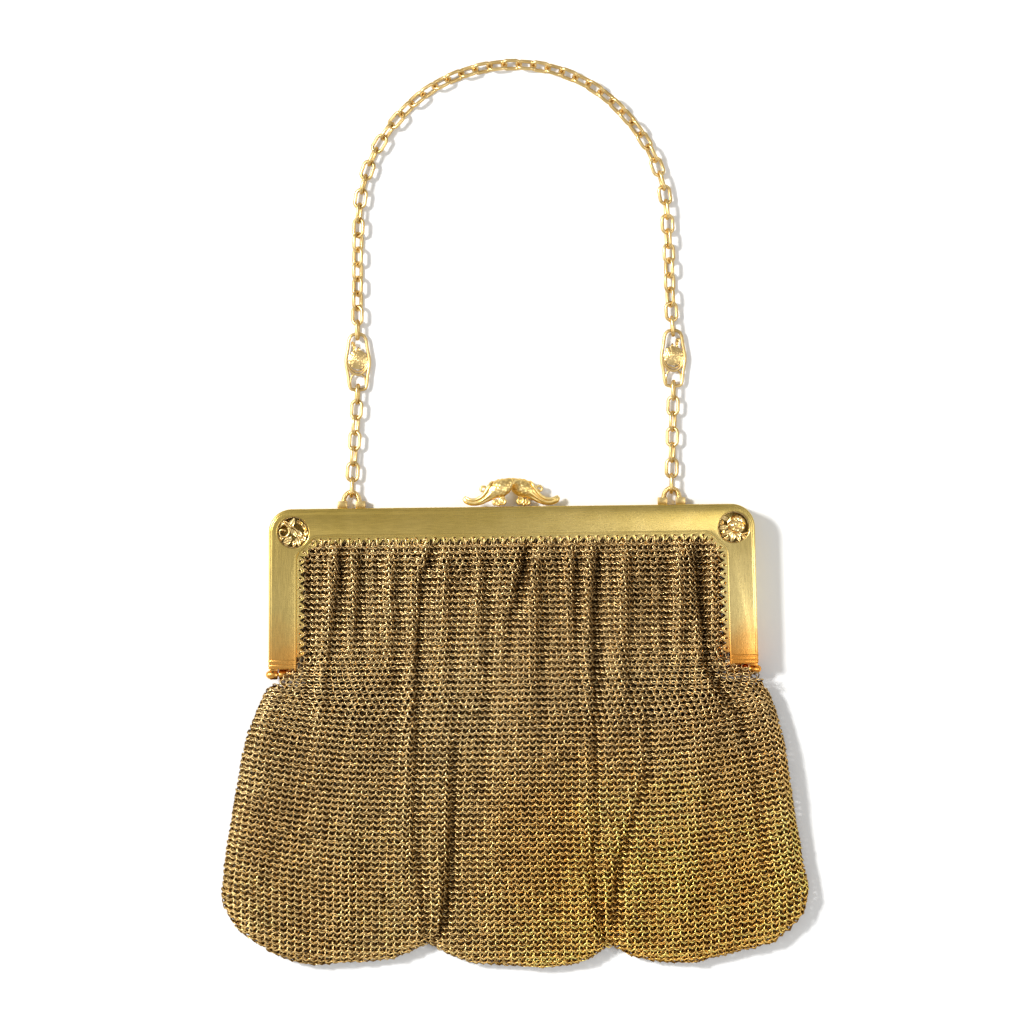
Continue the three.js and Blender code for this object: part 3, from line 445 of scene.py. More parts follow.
ragged_band_group, band_in, band_out = new_group(
    "ragged_band",
    [("Vector", "NodeSocketVector", None), ("Top", "NodeSocketFloat", 0.0), ("Bottom", "NodeSocketFloat", 0.0),
     ("Left Share", "NodeSocketFloat", 0.5), ("Ragged", "NodeSocketFloat", 0.006)],
    [("Mask", "NodeSocketFloat")])
axes = ragged_band_group.nodes.new("ShaderNodeSeparateXYZ")
ragged_band_group.links.new(band_in.outputs["Vector"], axes.inputs[0])
ragged = noise(ragged_band_group, band_in.outputs["Vector"], 160.0, 4.0, 0.6)
shifted = math_node(ragged_band_group, "MULTIPLY_ADD", math_node(ragged_band_group, "SUBTRACT", ragged, 0.5),
                    band_in.outputs["Ragged"], axes.outputs["Y"])
creep = ranged(ragged_band_group, shifted, band_in.outputs["Bottom"], band_in.outputs["Top"], 1.0, 0.0)
sided = ranged(ragged_band_group, axes.outputs["X"], -0.02, 0.02, band_in.outputs["Left Share"], 1.0)
ragged_band_group.links.new(math_node(ragged_band_group, "MULTIPLY", creep, sided), band_out.inputs["Mask"])


def placed_group(tree, group, vector, **values):
    node = tree.nodes.new("ShaderNodeGroup")
    node.node_tree = group
    tree.links.new(vector, node.inputs["Vector"])
    for label, value in values.items():
        node.inputs[label.replace("_", " ")].default_value = value
    return node.outputs


# %% The metals
def new_metal(name):
    material = bpy.data.materials.new(name)
    material.use_nodes = True
    tree = material.node_tree
    shader = tree.nodes["Principled BSDF"]
    shader.inputs["Metallic"].default_value = 1.0
    place = tree.nodes.new("ShaderNodeTexCoord").outputs["Object"]
    return material, tree, shader, place


def bumped(tree, shader, height, strength, distance):
    bump = tree.nodes.new("ShaderNodeBump")
    bump.inputs["Strength"].default_value = strength
    bump.inputs["Distance"].default_value = distance
    tree.links.new(height, bump.inputs["Height"])
    tree.links.new(bump.outputs["Normal"], shader.inputs["Normal"])


frame_gold, tree, shader, place = new_metal("frame_gold")
tint = placed_group(tree, tint_group, place, Scale=28.0, Main=(0.54, 0.375, 0.08, 1), Other=(0.48, 0.335, 0.062, 1))
# Painted highlight: the legs turn a paler, brighter gold, more so on the right, a reflection painted into the
# colour.
leg_highlight = placed_group(tree, ragged_band_group, place, Top=0.012, Bottom=-0.024, Left_Share=0.45, Ragged=0.012)
brush = placed_group(tree, brush_group, place, Rough=0.28, Rough_Change=0.22, Legs_From=0.0566)
heat = placed_group(tree, ragged_band_group, place, Top=-0.024, Bottom=-0.041, Left_Share=0.7, Ragged=0.011)
pale = mixed(tree, leg_highlight["Mask"], tint["Color"], (1.0, 0.775, 0.31, 1))
tree.links.new(mixed(tree, heat["Mask"], pale, (0.86, 0.36, 0.06, 1)), shader.inputs["Base Color"])
tree.links.new(brush["Roughness"], shader.inputs["Roughness"])
bumped(tree, shader, brush["Height"], 0.22, 0.00005)
shader.inputs["Specular Tint"].default_value = (0.9, 0.75, 0.4, 1)

ornament_gold, tree, shader, place = new_metal("ornament_gold")
tint = placed_group(tree, tint_group, place, Scale=500.0, Main=(0.86, 0.64, 0.28, 1), Other=(0.74, 0.51, 0.19, 1))
brush = placed_group(tree, brush_group, place, Rough=0.30, Rough_Change=0.15)
tree.links.new(tint["Color"], shader.inputs["Base Color"])
tree.links.new(brush["Roughness"], shader.inputs["Roughness"])
bumped(tree, shader, noise(tree, place, 5200.0, 2.0), 0.25, 0.00006)
shader.inputs["Specular Tint"].default_value = (0.75, 0.5, 0.2, 1)

clasp_gold, tree, shader, place = new_metal("clasp_gold")
tint = placed_group(tree, tint_group, place, Scale=420.0, Main=(0.96, 0.745, 0.32, 1), Other=(0.90, 0.65, 0.23, 1))
brush = placed_group(tree, brush_group, place, Rough=0.38, Rough_Change=0.12)
# Darker in the hollows between the scales and in the flutes: part patina, part painted shade.
hollow = tree.nodes.new("ShaderNodeAttribute")
hollow.attribute_name = "hollow"
tree.links.new(mixed(tree, hollow.outputs["Fac"], tint["Color"], (0.62, 0.37, 0.10, 1)),
               shader.inputs["Base Color"])
tree.links.new(brush["Roughness"], shader.inputs["Roughness"])
bumped(tree, shader, noise(tree, place, 4200.0, 2.0), 0.15, 0.00005)
shader.inputs["Specular Tint"].default_value = (0.75, 0.48, 0.16, 1)

chain_gold, tree, shader, place = new_metal("chain_gold")
tint = placed_group(tree, tint_group, place, Scale=240.0, Main=(0.82, 0.60, 0.265, 1), Other=(0.66, 0.46, 0.18, 1))
brush = placed_group(tree, brush_group, place, Rough=0.34, Rough_Change=0.2)
tree.links.new(tint["Color"], shader.inputs["Base Color"])
tree.links.new(brush["Roughness"], shader.inputs["Roughness"])
bumped(tree, shader, noise(tree, place, 2600.0, 3.0), 0.18, 0.00006)
shader.inputs["Specular Tint"].default_value = (0.55, 0.36, 0.14, 1)

mesh_gold, tree, shader, place = new_metal("mesh_gold")
tint = placed_group(tree, tint_group, place, Scale=22.0, Main=(1.0, 0.98, 0.96, 1), Other=(0.86, 0.80, 0.74, 1))
warm = placed_group(tree, ragged_band_group, place, Top=-0.045, Bottom=-0.10, Left_Share=0.25, Ragged=0.03)
tone = tree.nodes.new("ShaderNodeAttribute")
tone.attribute_name = "tone"
# At low tone the colour is painted shade: the sunk part of each ring, the lower rows, the pleats and the back
# sheet. Random dull rings take it too.
dull_and_shaded_gold, raised_gold = (0.14, 0.074, 0.02, 1), (1.0, 0.75, 0.36, 1)
shaded_tone = mixed(tree, ranged(tree, tone.outputs["Fac"], 0.05, 1.0, 0.0, 1.0), dull_and_shaded_gold, raised_gold)
warmed = mixed(tree, warm["Mask"], shaded_tone, mixed(tree, 1.0, shaded_tone, (1.42, 1.27, 0.80, 1), "MULTIPLY"))
tree.links.new(mixed(tree, 1.0, warmed, tint["Color"], "MULTIPLY"), shader.inputs["Base Color"])
tree.links.new(ranged(tree, tone.outputs["Fac"], 0.0, 1.0, 0.45, 0.33), shader.inputs["Roughness"])
shader.inputs["Specular Tint"].default_value = (0.6, 0.42, 0.2, 1)
print("finishes ready:", frame_gold.name, ornament_gold.name, clasp_gold.name, chain_gold.name, mesh_gold.name)

# %% [markdown]
# ## The ring mesh, part one: where the cloth lies
#
# The bag is mail: each ring passes through two in the row above and two in the row below. Such a sheet
# hangs like heavy cloth, so its own shape comes first. Long pleats start under the frame and fade on
# the way down, and two of them run on to the notches of the hem. The rings keep their spacing along
# the sheet, not across the picture, so they crowd into each pleat. That is why a row's places are
# measured along its wavy section here. At the sides and the hem the sheet turns down to meet the back.

# %% The bag's outline, shared with the CAD
BAG_HALF = 76.3
BAG_DROP = 119.3
BAG_THICK = 8.5
MOUTH_HALF = 53.9
SHOULDER_Y = HINGE_Y - KNUCKLE_RADIUS - GAP
SIDE_DOWN = [0.38, 0.42, 0.46, 0.50, 0.54, 0.59, 0.68, 0.76, 0.82, 0.85]
SIDE_LEFT = [0.825, 0.86, 0.886, 0.91, 0.926, 0.940, 0.966, 0.987, 0.999, 1.0]
SIDE_RIGHT = [0.83, 0.872, 0.893, 0.909, 0.921, 0.932, 0.950, 0.970, 0.987, 0.995]
HEM_ACROSS = [-1.0, -0.985, -0.965, -0.94, -0.88, -0.82, -0.74, -0.66, -0.49, -0.42, -0.37, -0.33, -0.305,
              -0.275, -0.23, -0.16, 0.085, 0.18, 0.24, 0.285, 0.32, 0.35, 0.40, 0.50, 0.60, 0.7, 0.8, 0.87,
              0.905, 0.945, 0.975, 0.995]
HEM_DOWN = [0.853, 0.877, 0.898, 0.919, 0.944, 0.97, 0.988, 0.99, 0.984, 0.978, 0.966, 0.952, 0.946,
            0.954, 0.972, 0.99, 1.003, 0.999, 0.986, 0.968, 0.956, 0.963, 0.982, 0.994, 0.996, 0.981, 0.966,
            0.956, 0.938, 0.918, 0.895, 0.856]
EDGE_TURN = 3.4
EDGE_RUN = EDGE_TURN * math.pi / 2
TURNED_UNDER = EDGE_RUN - EDGE_TURN


def soften(values, width):
    """A running mean that keeps both ends."""
    kernel = np.hanning(width * 2 + 1)
    padded = np.pad(values, width, mode="reflect", reflect_type="odd")
    return np.convolve(padded, kernel / kernel.sum(), mode="valid")


def side_x(side, y):
    share = np.interp(-np.asarray(y) / BAG_DROP, SIDE_DOWN, SIDE_LEFT if side < 0 else SIDE_RIGHT)
    return side * share * BAG_HALF


def bag_edge():
    """The outline from the left hinge round the hem to the right hinge, with its inward normals."""
    down = np.linspace(SHOULDER_Y + 2, -0.85 * BAG_DROP, 90)
    hem = np.stack([np.array(HEM_ACROSS) * BAG_HALF, -np.array(HEM_DOWN) * BAG_DROP], axis=1)
    left = np.stack([side_x(-1, down), down], axis=1)
    right = np.stack([side_x(1, down), down], axis=1)
    line = evenly(np.vstack([left, hem[1:-1], right[::-1]]), 900)
    line = np.stack([soften(line[:, 0], 7), soften(line[:, 1], 7)], axis=1)
    along = unit(np.gradient(line, axis=0))
    return line, np.stack([-along[:, 1], along[:, 0]], axis=1)


edge_line, edge_inward = bag_edge()
print("bag outline", edge_line.min(0).round(1), edge_line.max(0).round(1))

# %% Pleats: (across, down, depth) along each, in millimetres
PLEATS = [
    [(-44.7, -10, 2.5), (-45.9, -24, 3.0), (-47.4, -39, 2.0), (-48.4, -52, 0.8), (-50.1, -65, 0)],
    [(-39.0, -10, 1.5), (-39.9, -24, 1.7), (-41.1, -37, 0.9), (-42.1, -50, 0)],
    [(-20.3, -10, 2.5), (-23.2, -17, 3.2), (-24.2, -32, 3.0), (-24.9, -49, 2.2), (-25.6, -66, 1.5),
     (-26.1, -84, 1.2), (-24.5, -101, 1.4), (-23.1, -112, 2.2), (-22.6, -119, 2.6)],
    [(-13.4, -45, 0), (-14.6, -55, 0.9), (-15.5, -66, 1.6), (-16.2, -84, 2.2), (-17.2, -97, 2.6),
     (-19.1, -108, 2.6), (-21.5, -113, 2.6)],
    [(4.7, -9.5, 2.8), (2.0, -19, 2.8), (0.1, -28, 1.7), (-1.4, -37, 0.7), (-2.3, -48, 0)],
    [(-7.8, -10, 1.2), (-8.0, -24, 0.9), (-8.1, -35, 0)],
    [(17.2, -11, 1.4), (16.5, -25, 1.0), (16.3, -38, 0)],
    [(22.9, -11, 2.4), (21.2, -25, 2.4), (21.7, -40, 1.9), (21.6, -51, 1.4), (21.0, -77, 1.2),
     (20.6, -93, 1.4), (21.0, -103, 1.8), (23.4, -113, 2.4), (24.2, -120, 2.6)],
    [(34.5, -40, 0.4), (34.8, -56, 1.1), (34.1, -71, 1.4), (30.3, -84, 1.6), (27.3, -92, 1.8),
     (25.9, -103, 1.8), (24.7, -113, 2.2)],
    [(48.1, -11, 2.6), (48.7, -24, 3.2), (49.9, -33, 3.4), (50.6, -42, 3.2), (53.6, -48, 1.8),
     (58.2, -54, 1.1), (61.2, -64, 1.0), (63.6, -80, 0.9), (65.2, -98, 0.6), (65.9, -108, 0)],
    [(38.5, -11, 1.4), (38.8, -25, 1.0), (39.2, -40, 0.7), (39.5, -56, 0)],
]
PLEAT_WIDTH = 1.7
PLEAT_STRENGTH = 0.85
GATHERS = [(4.7, 0.70, 0.4, 0.25), (7.6, 0.70, 2.1, 0.38), (12.5, 0.60, 4.4, 0.9), (23.0, 0.50, 1.2, 1.4)]
SWELL_DOWN = [0.07, 0.38, 0.6, 0.85, 1.0]
SWELL_THICK = [1.0, 0.98, 0.95, 0.88, 0.78]
RING_SHEET = 0.7
rng = np.random.default_rng(7)


def pleat_depth(x, y):
    """How far the sheet sinks into its pleats."""
    sunk = np.zeros_like(np.asarray(y, float))
    for pleat in PLEATS:
        across, level, depth = np.array(pleat).T
        centre = np.interp(-y, -level, across)
        deep = np.interp(-y, -level, depth)
        away = (x - centre) / np.where(x < centre, 0.75, 1.25) / PLEAT_WIDTH
        sunk = np.maximum(sunk, deep * np.exp(-away ** 2))
    return sunk


def gathers(x, y):
    """Soft waves across the sheet, where its fullness is drawn in by the frame."""
    down = -y / BAG_DROP
    return sum(size * np.exp(-down / reach) * np.sin(2 * math.pi * (x + 4.0 * down * phase) / length + phase)
               for length, size, phase, reach in GATHERS)


def front_height(x, y):
    """Height of the middle of the front sheet, before it turns down at its edge."""
    down = -y / BAG_DROP
    height = BAG_THICK * np.interp(down, SWELL_DOWN, SWELL_THICK) - RING_SHEET
    near_teeth = np.clip((-y - TOOTH_TIP) / 5.0, 0.0, 1.0)
    sunk = PLEAT_STRENGTH * pleat_depth(x, y)
    return height - sunk * (0.25 + 0.75 * near_teeth) + (gathers(x, y) - 0.5) * near_teeth


# %% Places along each row, measured along the pleated section
COLUMNS = 80
RING_PITCH = 1.92
ROW_PITCH = 0.79
ROWS = 150
ROW_TOP = -8.7
LEVELS = np.linspace(-6.0, -128.0, 245)
SHARES = np.linspace(-1.0, 1.0, 161)


HINGE_LEVELS = [36.5, 39.5, 41.5, 43.0, 44.4, 46.5]
HINGE_LEFT = [0.04, 0.2, 0.3, 0.38, 0.66, 1.0]
HINGE_RIGHT = [0.06, 0.26, 0.45, 0.72, 0.92, 1.0]


def row_places(left, right, y):
    x = np.linspace(left, right, 900)
    z = front_height(x, np.full_like(x, y))
    run = np.concatenate([[0], np.cumsum(np.hypot(np.diff(x), np.diff(z)))])
    return np.interp((SHARES + 1) / 2 * run[-1], run, x)


def column_table():
    table = []
    for y in LEVELS:
        held = row_places(-MOUTH_HALF, MOUTH_HALF, y)
        below = min(y, SHOULDER_Y)
        free = row_places(side_x(-1, below) - TURNED_UNDER, side_x(1, below) + TURNED_UNDER, y)
        reach = 5.0 + 45.0 * (1 - np.abs(SHARES))
        share = np.clip((SHOULDER_Y + 1.5 + reach * 0.45 - y) / reach, 0.0, 1.0)
        share = share * share * (3 - 2 * share)
        round_hinge = np.where(SHARES < 0, np.interp(-y, HINGE_LEVELS, HINGE_LEFT),
                               np.interp(-y, HINGE_LEVELS, HINGE_RIGHT))
        share += (round_hinge - share) * np.abs(SHARES) ** 10
        table.append(held + (free - held) * share)
    return np.array(table)


COLUMN_TABLE = column_table()
FAN_FROM, FAN_TO, FAN_RISE = 30.0, 72.0, 4.6
MEET_Z = 3.6


def column_x(share, y):
    """Across place of a column at a level, read from the table in both directions."""
    row = np.clip((LEVELS[0] - y) / (LEVELS[0] - LEVELS[1]), 0, len(LEVELS) - 1.001)
    column = np.clip((share + 1) / (SHARES[1] - SHARES[0]), 0, len(SHARES) - 1.001)
    i, j = row.astype(int), column.astype(int)
    a, b = row - i, column - j
    t = COLUMN_TABLE
    return ((1 - a) * ((1 - b) * t[i, j] + b * t[i, j + 1]) + a * ((1 - b) * t[i + 1, j] + b * t[i + 1, j + 1]))


def turn_edge(x, y, z, meet_z, top=True):
    """Rolls the outer strip of a sheet over to the level where front and back meet."""
    out_line = edge_line - edge_inward * TURNED_UNDER
    nearest = np.empty(len(x), int)
    for start in range(0, len(x), 2000):
        part = slice(start, start + 2000)
        gap = (x[part, None] - out_line[None, :, 0]) ** 2 + (y[part, None] - out_line[None, :, 1]) ** 2
        nearest[part] = gap.argmin(1)
    foot, inward = out_line[nearest], edge_inward[nearest]
    depth = (x - foot[:, 0]) * inward[:, 0] + (y - foot[:, 1]) * inward[:, 1]
    held = y > SHOULDER_Y - 1.0
    angle = np.clip(depth / EDGE_TURN, 0.0, math.pi / 2)
    rolled = TURNED_UNDER + EDGE_TURN * (1 - np.cos(angle))
    shift = np.where((depth < EDGE_RUN) & ~held, rolled - depth, 0.0)
    x = x + inward[:, 0] * shift
    y = y + inward[:, 1] * shift
    z = np.where(held, z, meet_z + (z - meet_z) * np.sin(angle))
    return x, y, z, np.where(held, EDGE_RUN, depth)


def front_sheet(column, row):
    """Points of the front sheet for ring columns and rows, and their distance in from its edge."""
    share = column / (COLUMNS / 2)
    level = ROW_TOP - ROW_PITCH * row
    rough_x = column_x(share, level)
    fan = np.clip((np.abs(rough_x) - FAN_FROM) / (FAN_TO - FAN_FROM), 0, 1.3) ** 2
    fan_start = np.clip((-level + SHOULDER_Y + 6.0) / 22.0, 0, 1)
    level = level + FAN_RISE * fan * fan_start * fan_start * (3 - 2 * fan_start)
    x = column_x(share, level)
    z = front_height(x, level)
    x, y, z, inside = turn_edge(x, level, z, MEET_Z)
    return np.stack([x, y, z], axis=1), inside


print("columns", COLUMNS, "pitch at the mouth",
      round(float(COLUMN_TABLE[20, 81] - COLUMN_TABLE[20, 79]) * 80 / COLUMNS, 2))

# %% [markdown]
# ## The ring mesh, part two: rings on the sheet
#
# Each point of the sheet carries two directions: the axis that its ring turns about, and the way the
# row runs. Rings of one row lean one way and those of the next row lean the other, which is how mail
# lies. Every other row lies lower and takes a darker tone, painted shade under the rows on top. That
# gives the wavy light lines and the columns of dark holes of the real bag. A Geometry Nodes tree bends one
# ring from a circle and stands a copy on every point, where it keeps the point's own tone. The same
# tree bends the long links of the chain, because a link is a ring with straight sides.

# %% The tree that stands wire links on points
def link_tree():
    tree = bpy.data.node_groups.new("wire_links_on_points", "GeometryNodeTree")
    tree.interface.new_socket("Geometry", in_out="OUTPUT", socket_type="NodeSocketGeometry")
    tree.interface.new_socket("Geometry", in_out="INPUT", socket_type="NodeSocketGeometry")
    for label, kind, value in (("Bend Radius", "NodeSocketFloat", 0.001), ("Straight", "NodeSocketFloat", 0.0),
                               ("Wire Radius", "NodeSocketFloat", 0.0002), ("Bend Steps", "NodeSocketInt", 8),
                               ("Wire Sides", "NodeSocketInt", 3),
                               ("Material", "NodeSocketMaterial", None)):
        socket = tree.interface.new_socket(label, in_out="INPUT", socket_type=kind)
        if value is not None:
            socket.default_value = value
    nodes, link = tree.nodes, tree.links.new
    given, result = nodes.new("NodeGroupInput"), nodes.new("NodeGroupOutput")

    bend = nodes.new("GeometryNodeCurvePrimitiveCircle")
    link(given.outputs["Bend Steps"], bend.inputs["Resolution"])
    link(given.outputs["Bend Radius"], bend.inputs["Radius"])
    position = nodes.new("GeometryNodeInputPosition")
    split = nodes.new("ShaderNodeSeparateXYZ")
    link(position.outputs[0], split.inputs[0])
    side = nodes.new("ShaderNodeMath")
    side.operation = "SIGN"
    link(split.outputs["X"], side.inputs[0])
    push = nodes.new("ShaderNodeMath")
    push.operation = "MULTIPLY"
    link(side.outputs[0], push.inputs[0])
    link(given.outputs["Straight"], push.inputs[1])
    offset = nodes.new("ShaderNodeCombineXYZ")
    link(push.outputs[0], offset.inputs["X"])
    stretch = nodes.new("GeometryNodeSetPosition")
    link(bend.outputs["Curve"], stretch.inputs["Geometry"])
    link(offset.outputs[0], stretch.inputs["Offset"])

    section = nodes.new("GeometryNodeCurvePrimitiveCircle")
    link(given.outputs["Wire Sides"], section.inputs["Resolution"])
    link(given.outputs["Wire Radius"], section.inputs["Radius"])
    sweep = nodes.new("GeometryNodeCurveToMesh")
    link(stretch.outputs["Geometry"], sweep.inputs["Curve"])
    link(section.outputs["Curve"], sweep.inputs["Profile Curve"])
    smooth = nodes.new("GeometryNodeSetShadeSmooth")
    link(sweep.outputs["Mesh"], smooth.inputs["Geometry"])

    turn = nodes.new("FunctionNodeAxesToRotation")
    turn.primary_axis, turn.secondary_axis = "Z", "X"
    for name, label in (("ring_axis", "Primary Axis"), ("row_way", "Secondary Axis")):
        read = nodes.new("GeometryNodeInputNamedAttribute")
        read.data_type = "FLOAT_VECTOR"
        read.inputs["Name"].default_value = name
        link(read.outputs["Attribute"], turn.inputs[label])
    stand = nodes.new("GeometryNodeInstanceOnPoints")
    link(given.outputs["Geometry"], stand.inputs["Points"])
    link(smooth.outputs["Geometry"], stand.inputs["Instance"])
    link(turn.outputs["Rotation"], stand.inputs["Rotation"])

    real = nodes.new("GeometryNodeRealizeInstances")
    link(stand.outputs["Instances"], real.inputs["Geometry"])
    coat = nodes.new("GeometryNodeSetMaterial")
    link(real.outputs["Geometry"], coat.inputs["Geometry"])
    link(given.outputs["Material"], coat.inputs["Material"])
    link(coat.outputs["Geometry"], result.inputs["Geometry"])
    return tree


LINK_TREE = link_tree()


def wire_links(name, points, axes_of_links, ways, material, tones=None, ring_shading=0.0, **sizes):
    """One mesh of wire links standing on the points, made by the tree above.

    The tone of a link is its colour from dark (0) to bright (1). Ring shading lowers it on the sunk part
    of each link as painted shade under its neighbours, and lifts it a little on the raised part as a painted
    highlight.
    """
    carrier = bpy.data.meshes.new(name + "_points")
    carrier.from_pydata(to_metres(points).tolist(), [], [])
    tones = np.full(len(points), 0.5) if tones is None else tones
    carrier.attributes.new("tone", "FLOAT", "POINT").data.foreach_set("value", np.asarray(tones, np.float32))
    for label, vectors in (("ring_axis", axes_of_links), ("row_way", ways)):
        attribute = carrier.attributes.new(label, "FLOAT_VECTOR", "POINT")
        attribute.data.foreach_set("vector", np.asarray(vectors, np.float32).ravel())
    holder = bpy.data.objects.new(name + "_points", carrier)
    bpy.context.scene.collection.objects.link(holder)
    modifier = holder.modifiers.new("links", "NODES")
    modifier.node_group = LINK_TREE
    sizes["Material"] = material
    for item in LINK_TREE.interface.items_tree:
        if item.in_out == "INPUT" and item.name in sizes:
            modifier[item.identifier] = sizes[item.name]
    bpy.context.view_layer.update()
    mesh = bpy.data.meshes.new_from_object(holder.evaluated_get(bpy.context.evaluated_depsgraph_get()))
    bpy.data.objects.remove(holder)
    mesh.name = name
    height = np.array([v.co.z for v in mesh.vertices]).reshape(len(points), -1)
    spread = np.maximum(np.abs(height - height.mean(1, keepdims=True)).max(), 1e-9)
    raised = (height - height.mean(1, keepdims=True)) / spread
    # Painted shade on the sunk part of each link, and a faint painted highlight on its raised part.
    shaded_tone = np.asarray(tones)[:, None] + ring_shading * np.clip((raised - 0.1) * 1.7, -1.0, 0.12)
    mesh.attributes["tone"].data.foreach_set("value", np.clip(shaded_tone, 0, 1).astype(np.float32).ravel())
    if not mesh.materials:
        mesh.materials.append(material)
    piece = bpy.data.objects.new(name, mesh)
    bpy.context.scene.collection.objects.link(piece)
    return piece


print("link tree has", len(LINK_TREE.nodes), "nodes")

# %% Rings of the front sheet
RING_RADIUS = 1.04
WIRE_RADIUS = 0.21
RING_LEAN = math.radians(29)
RING_FAN = 0.17


def lattice(rows, columns):
    """Column and row of every ring: alternate rows sit half a pitch along."""
    row, column = np.meshgrid(np.arange(rows), np.arange(columns) - columns / 2 + 0.25, indexing="ij")
    return (column + 0.5 * (row % 2)).ravel(), row.ravel().astype(float)


def ring_frames(sheet, column, row, lean_sign):
    """Ring places with their axes, from small steps along and down the sheet."""
    here, inside = sheet(column, row)
    way = unit(sheet(column + 0.3, row)[0] - sheet(column - 0.3, row)[0])
    down = sheet(column, row + 0.6)[0] - sheet(column, row - 0.6)[0]
    down = unit(down - way * np.sum(down * way, axis=1, keepdims=True))
    normal = np.cross(down, way)
    lean = RING_LEAN * lean_sign + rng.normal(0, 0.10, len(row))
    sway = rng.normal(RING_FAN, 0.09, len(row))[:, None]
    axis = normal * np.cos(lean)[:, None] + down * np.sin(lean)[:, None] + way * sway
    here = here + rng.normal(0, 0.05, here.shape) - (0, 0.28, 0.06) * (row % 2 == 0)[:, None]
    return here, unit(axis), way, inside


column, row = lattice(ROWS, COLUMNS)
places, ring_axes, ways, inside = ring_frames(front_sheet, column, row, np.where(row % 2 == 0, 1.0, -1.0))
barrel_end = np.where(places[:, 0] < 0, 59.6, 62.4) + np.clip((-44.4 - places[:, 1]) * 2, 0, 30)
keep = (inside > 0.35) & (np.abs(places[:, 0]) < barrel_end)
# Painted shade: rings deep in the pleats take a darker tone. Rings on the crests of the gathers take a lighter one.
dark = pleat_depth(places[:, 0], places[:, 1]) / 3.0
tones = rng.normal(0.74, 0.12, len(row)) - 0.25 * dark + 0.10 * gathers(places[:, 0], places[:, 1])
# Painted shade: every other row, which lies lower under its neighbours, takes a darker tone.
tones -= np.where(row % 2 == 0, 0.22, 0.0)
print("front rings", int(keep.sum()), "of", len(keep))
FRONT_BANDS = [0, 50, 100, ROWS]
# How strongly the sunk part of each ring is darkened, as painted shade.
RING_SHADING = 0.9
ring_sizes = {"Bend Radius": RING_RADIUS * MM, "Wire Radius": WIRE_RADIUS * MM, "Straight": 0.0}
back_sizes = {**ring_sizes, "Wire Radius": WIRE_RADIUS * 1.5 * MM}
front_pieces = []
for i, (start, end) in enumerate(zip(FRONT_BANDS, FRONT_BANDS[1:])):
    part = keep & (row >= start) & (row < end)
    front_pieces.append(wire_links(
        ("mesh_front_upper", "mesh_front_middle", "mesh_front_lower")[i], places[part], ring_axes[part],
        ways[part], mesh_gold, tones[part], RING_SHADING, **ring_sizes, **{"Bend Steps": 8, "Wire Sides": 3}))
for piece in front_pieces:
    dress(piece, "mesh_gold", "mesh_bag")

# %% [markdown]
# The back sheet is the same mail lying flat on the table. It is seen only at the edges and from behind,
# so its rings have fewer faces, and their wire is half as stout again to close the sheet. It curls up
# at its rim to meet the front.

# %% Rings of the back sheet
BACK_TOP, BACK_COLUMNS, BACK_SPLIT = -10.0, 84, 76
BACK_RISE = 0.45
HINGE_CORNER = (60.0, -46.9)


def back_sheet(column, row):
    x = column * RING_PITCH
    y = BACK_TOP - ROW_PITCH * row
    z = np.full_like(x, RING_SHEET + BACK_RISE)
    x, y, z, inside = turn_edge(x, y, z, MEET_Z - 0.3)
    held = y > SHOULDER_Y - 1.0
    inside = np.where(held & (np.abs(x) > MOUTH_HALF), -1.0, inside)
    return np.stack([x, y, z], axis=1), inside


column, row = lattice(ROWS, BACK_COLUMNS)
places, ring_axes, ways, inside = ring_frames(back_sheet, column, row, np.where(row % 2 == 0, 1.0, -1.0))
keep = (inside > 0.9) & ~((places[:, 1] > HINGE_CORNER[1]) & (np.abs(places[:, 0]) > HINGE_CORNER[0]))
# Painted shade: the back sheet's rings take a low tone, the same metal lying in the shade of the front sheet.
tones = rng.normal(0.3, 0.1, len(row))
print("back rings", int(keep.sum()))
back_pieces = []
for i, (start, end) in enumerate(((0, BACK_SPLIT), (BACK_SPLIT, ROWS))):
    part = keep & (row >= start) & (row < end)
    back_pieces.append(wire_links(
        ("mesh_back_upper", "mesh_back_lower")[i], places[part], ring_axes[part], ways[part], mesh_gold,
        tones[part], RING_SHADING, **back_sizes, **{"Bend Steps": 5, "Wire Sides": 3}))
for piece in back_pieces:
    dress(piece, "mesh_gold", "mesh_bag")

# %% [markdown]
# ## The frame
#
# The frame is two U-shaped jaws, stamped from sheet and hinged at the feet. Each has a rounded outer
# wall, a flat brushed face with a thin raised lip, and a lower flange cut into teeth, which the mesh hangs
# from. Bent sheet like this could be cut from one block with booleans, but it is clearer to lay one
# flat plate on another, as the stamping steps did. The back jaw is the front one turned over, left
# plain, with its knuckle between the two of the front jaw.

# %% Outlines of a jaw at any depth in from its outer edge
def leg_x(y, depth):
    share = np.clip((-y - FRAME_CORNER) / (LEG_LENGTH - FRAME_CORNER), 0, 1)
    return HALF_FRAME - depth + LEG_SPLAY * share


def outer_path(depth, foot=LEG_LENGTH):
    """Up the left leg, round both corners and down the right leg."""
    turn = np.radians(np.linspace(180, 90, 13))
    reach = FRAME_CORNER - depth
    half = [(-leg_x(-foot, depth), -foot)]
    half += [(-HALF_FRAME + FRAME_CORNER + reach * math.cos(t), -FRAME_CORNER + reach * math.sin(t)) for t in turn]
    return np.array(half + [(-x, y) for x, y in half[::-1]])


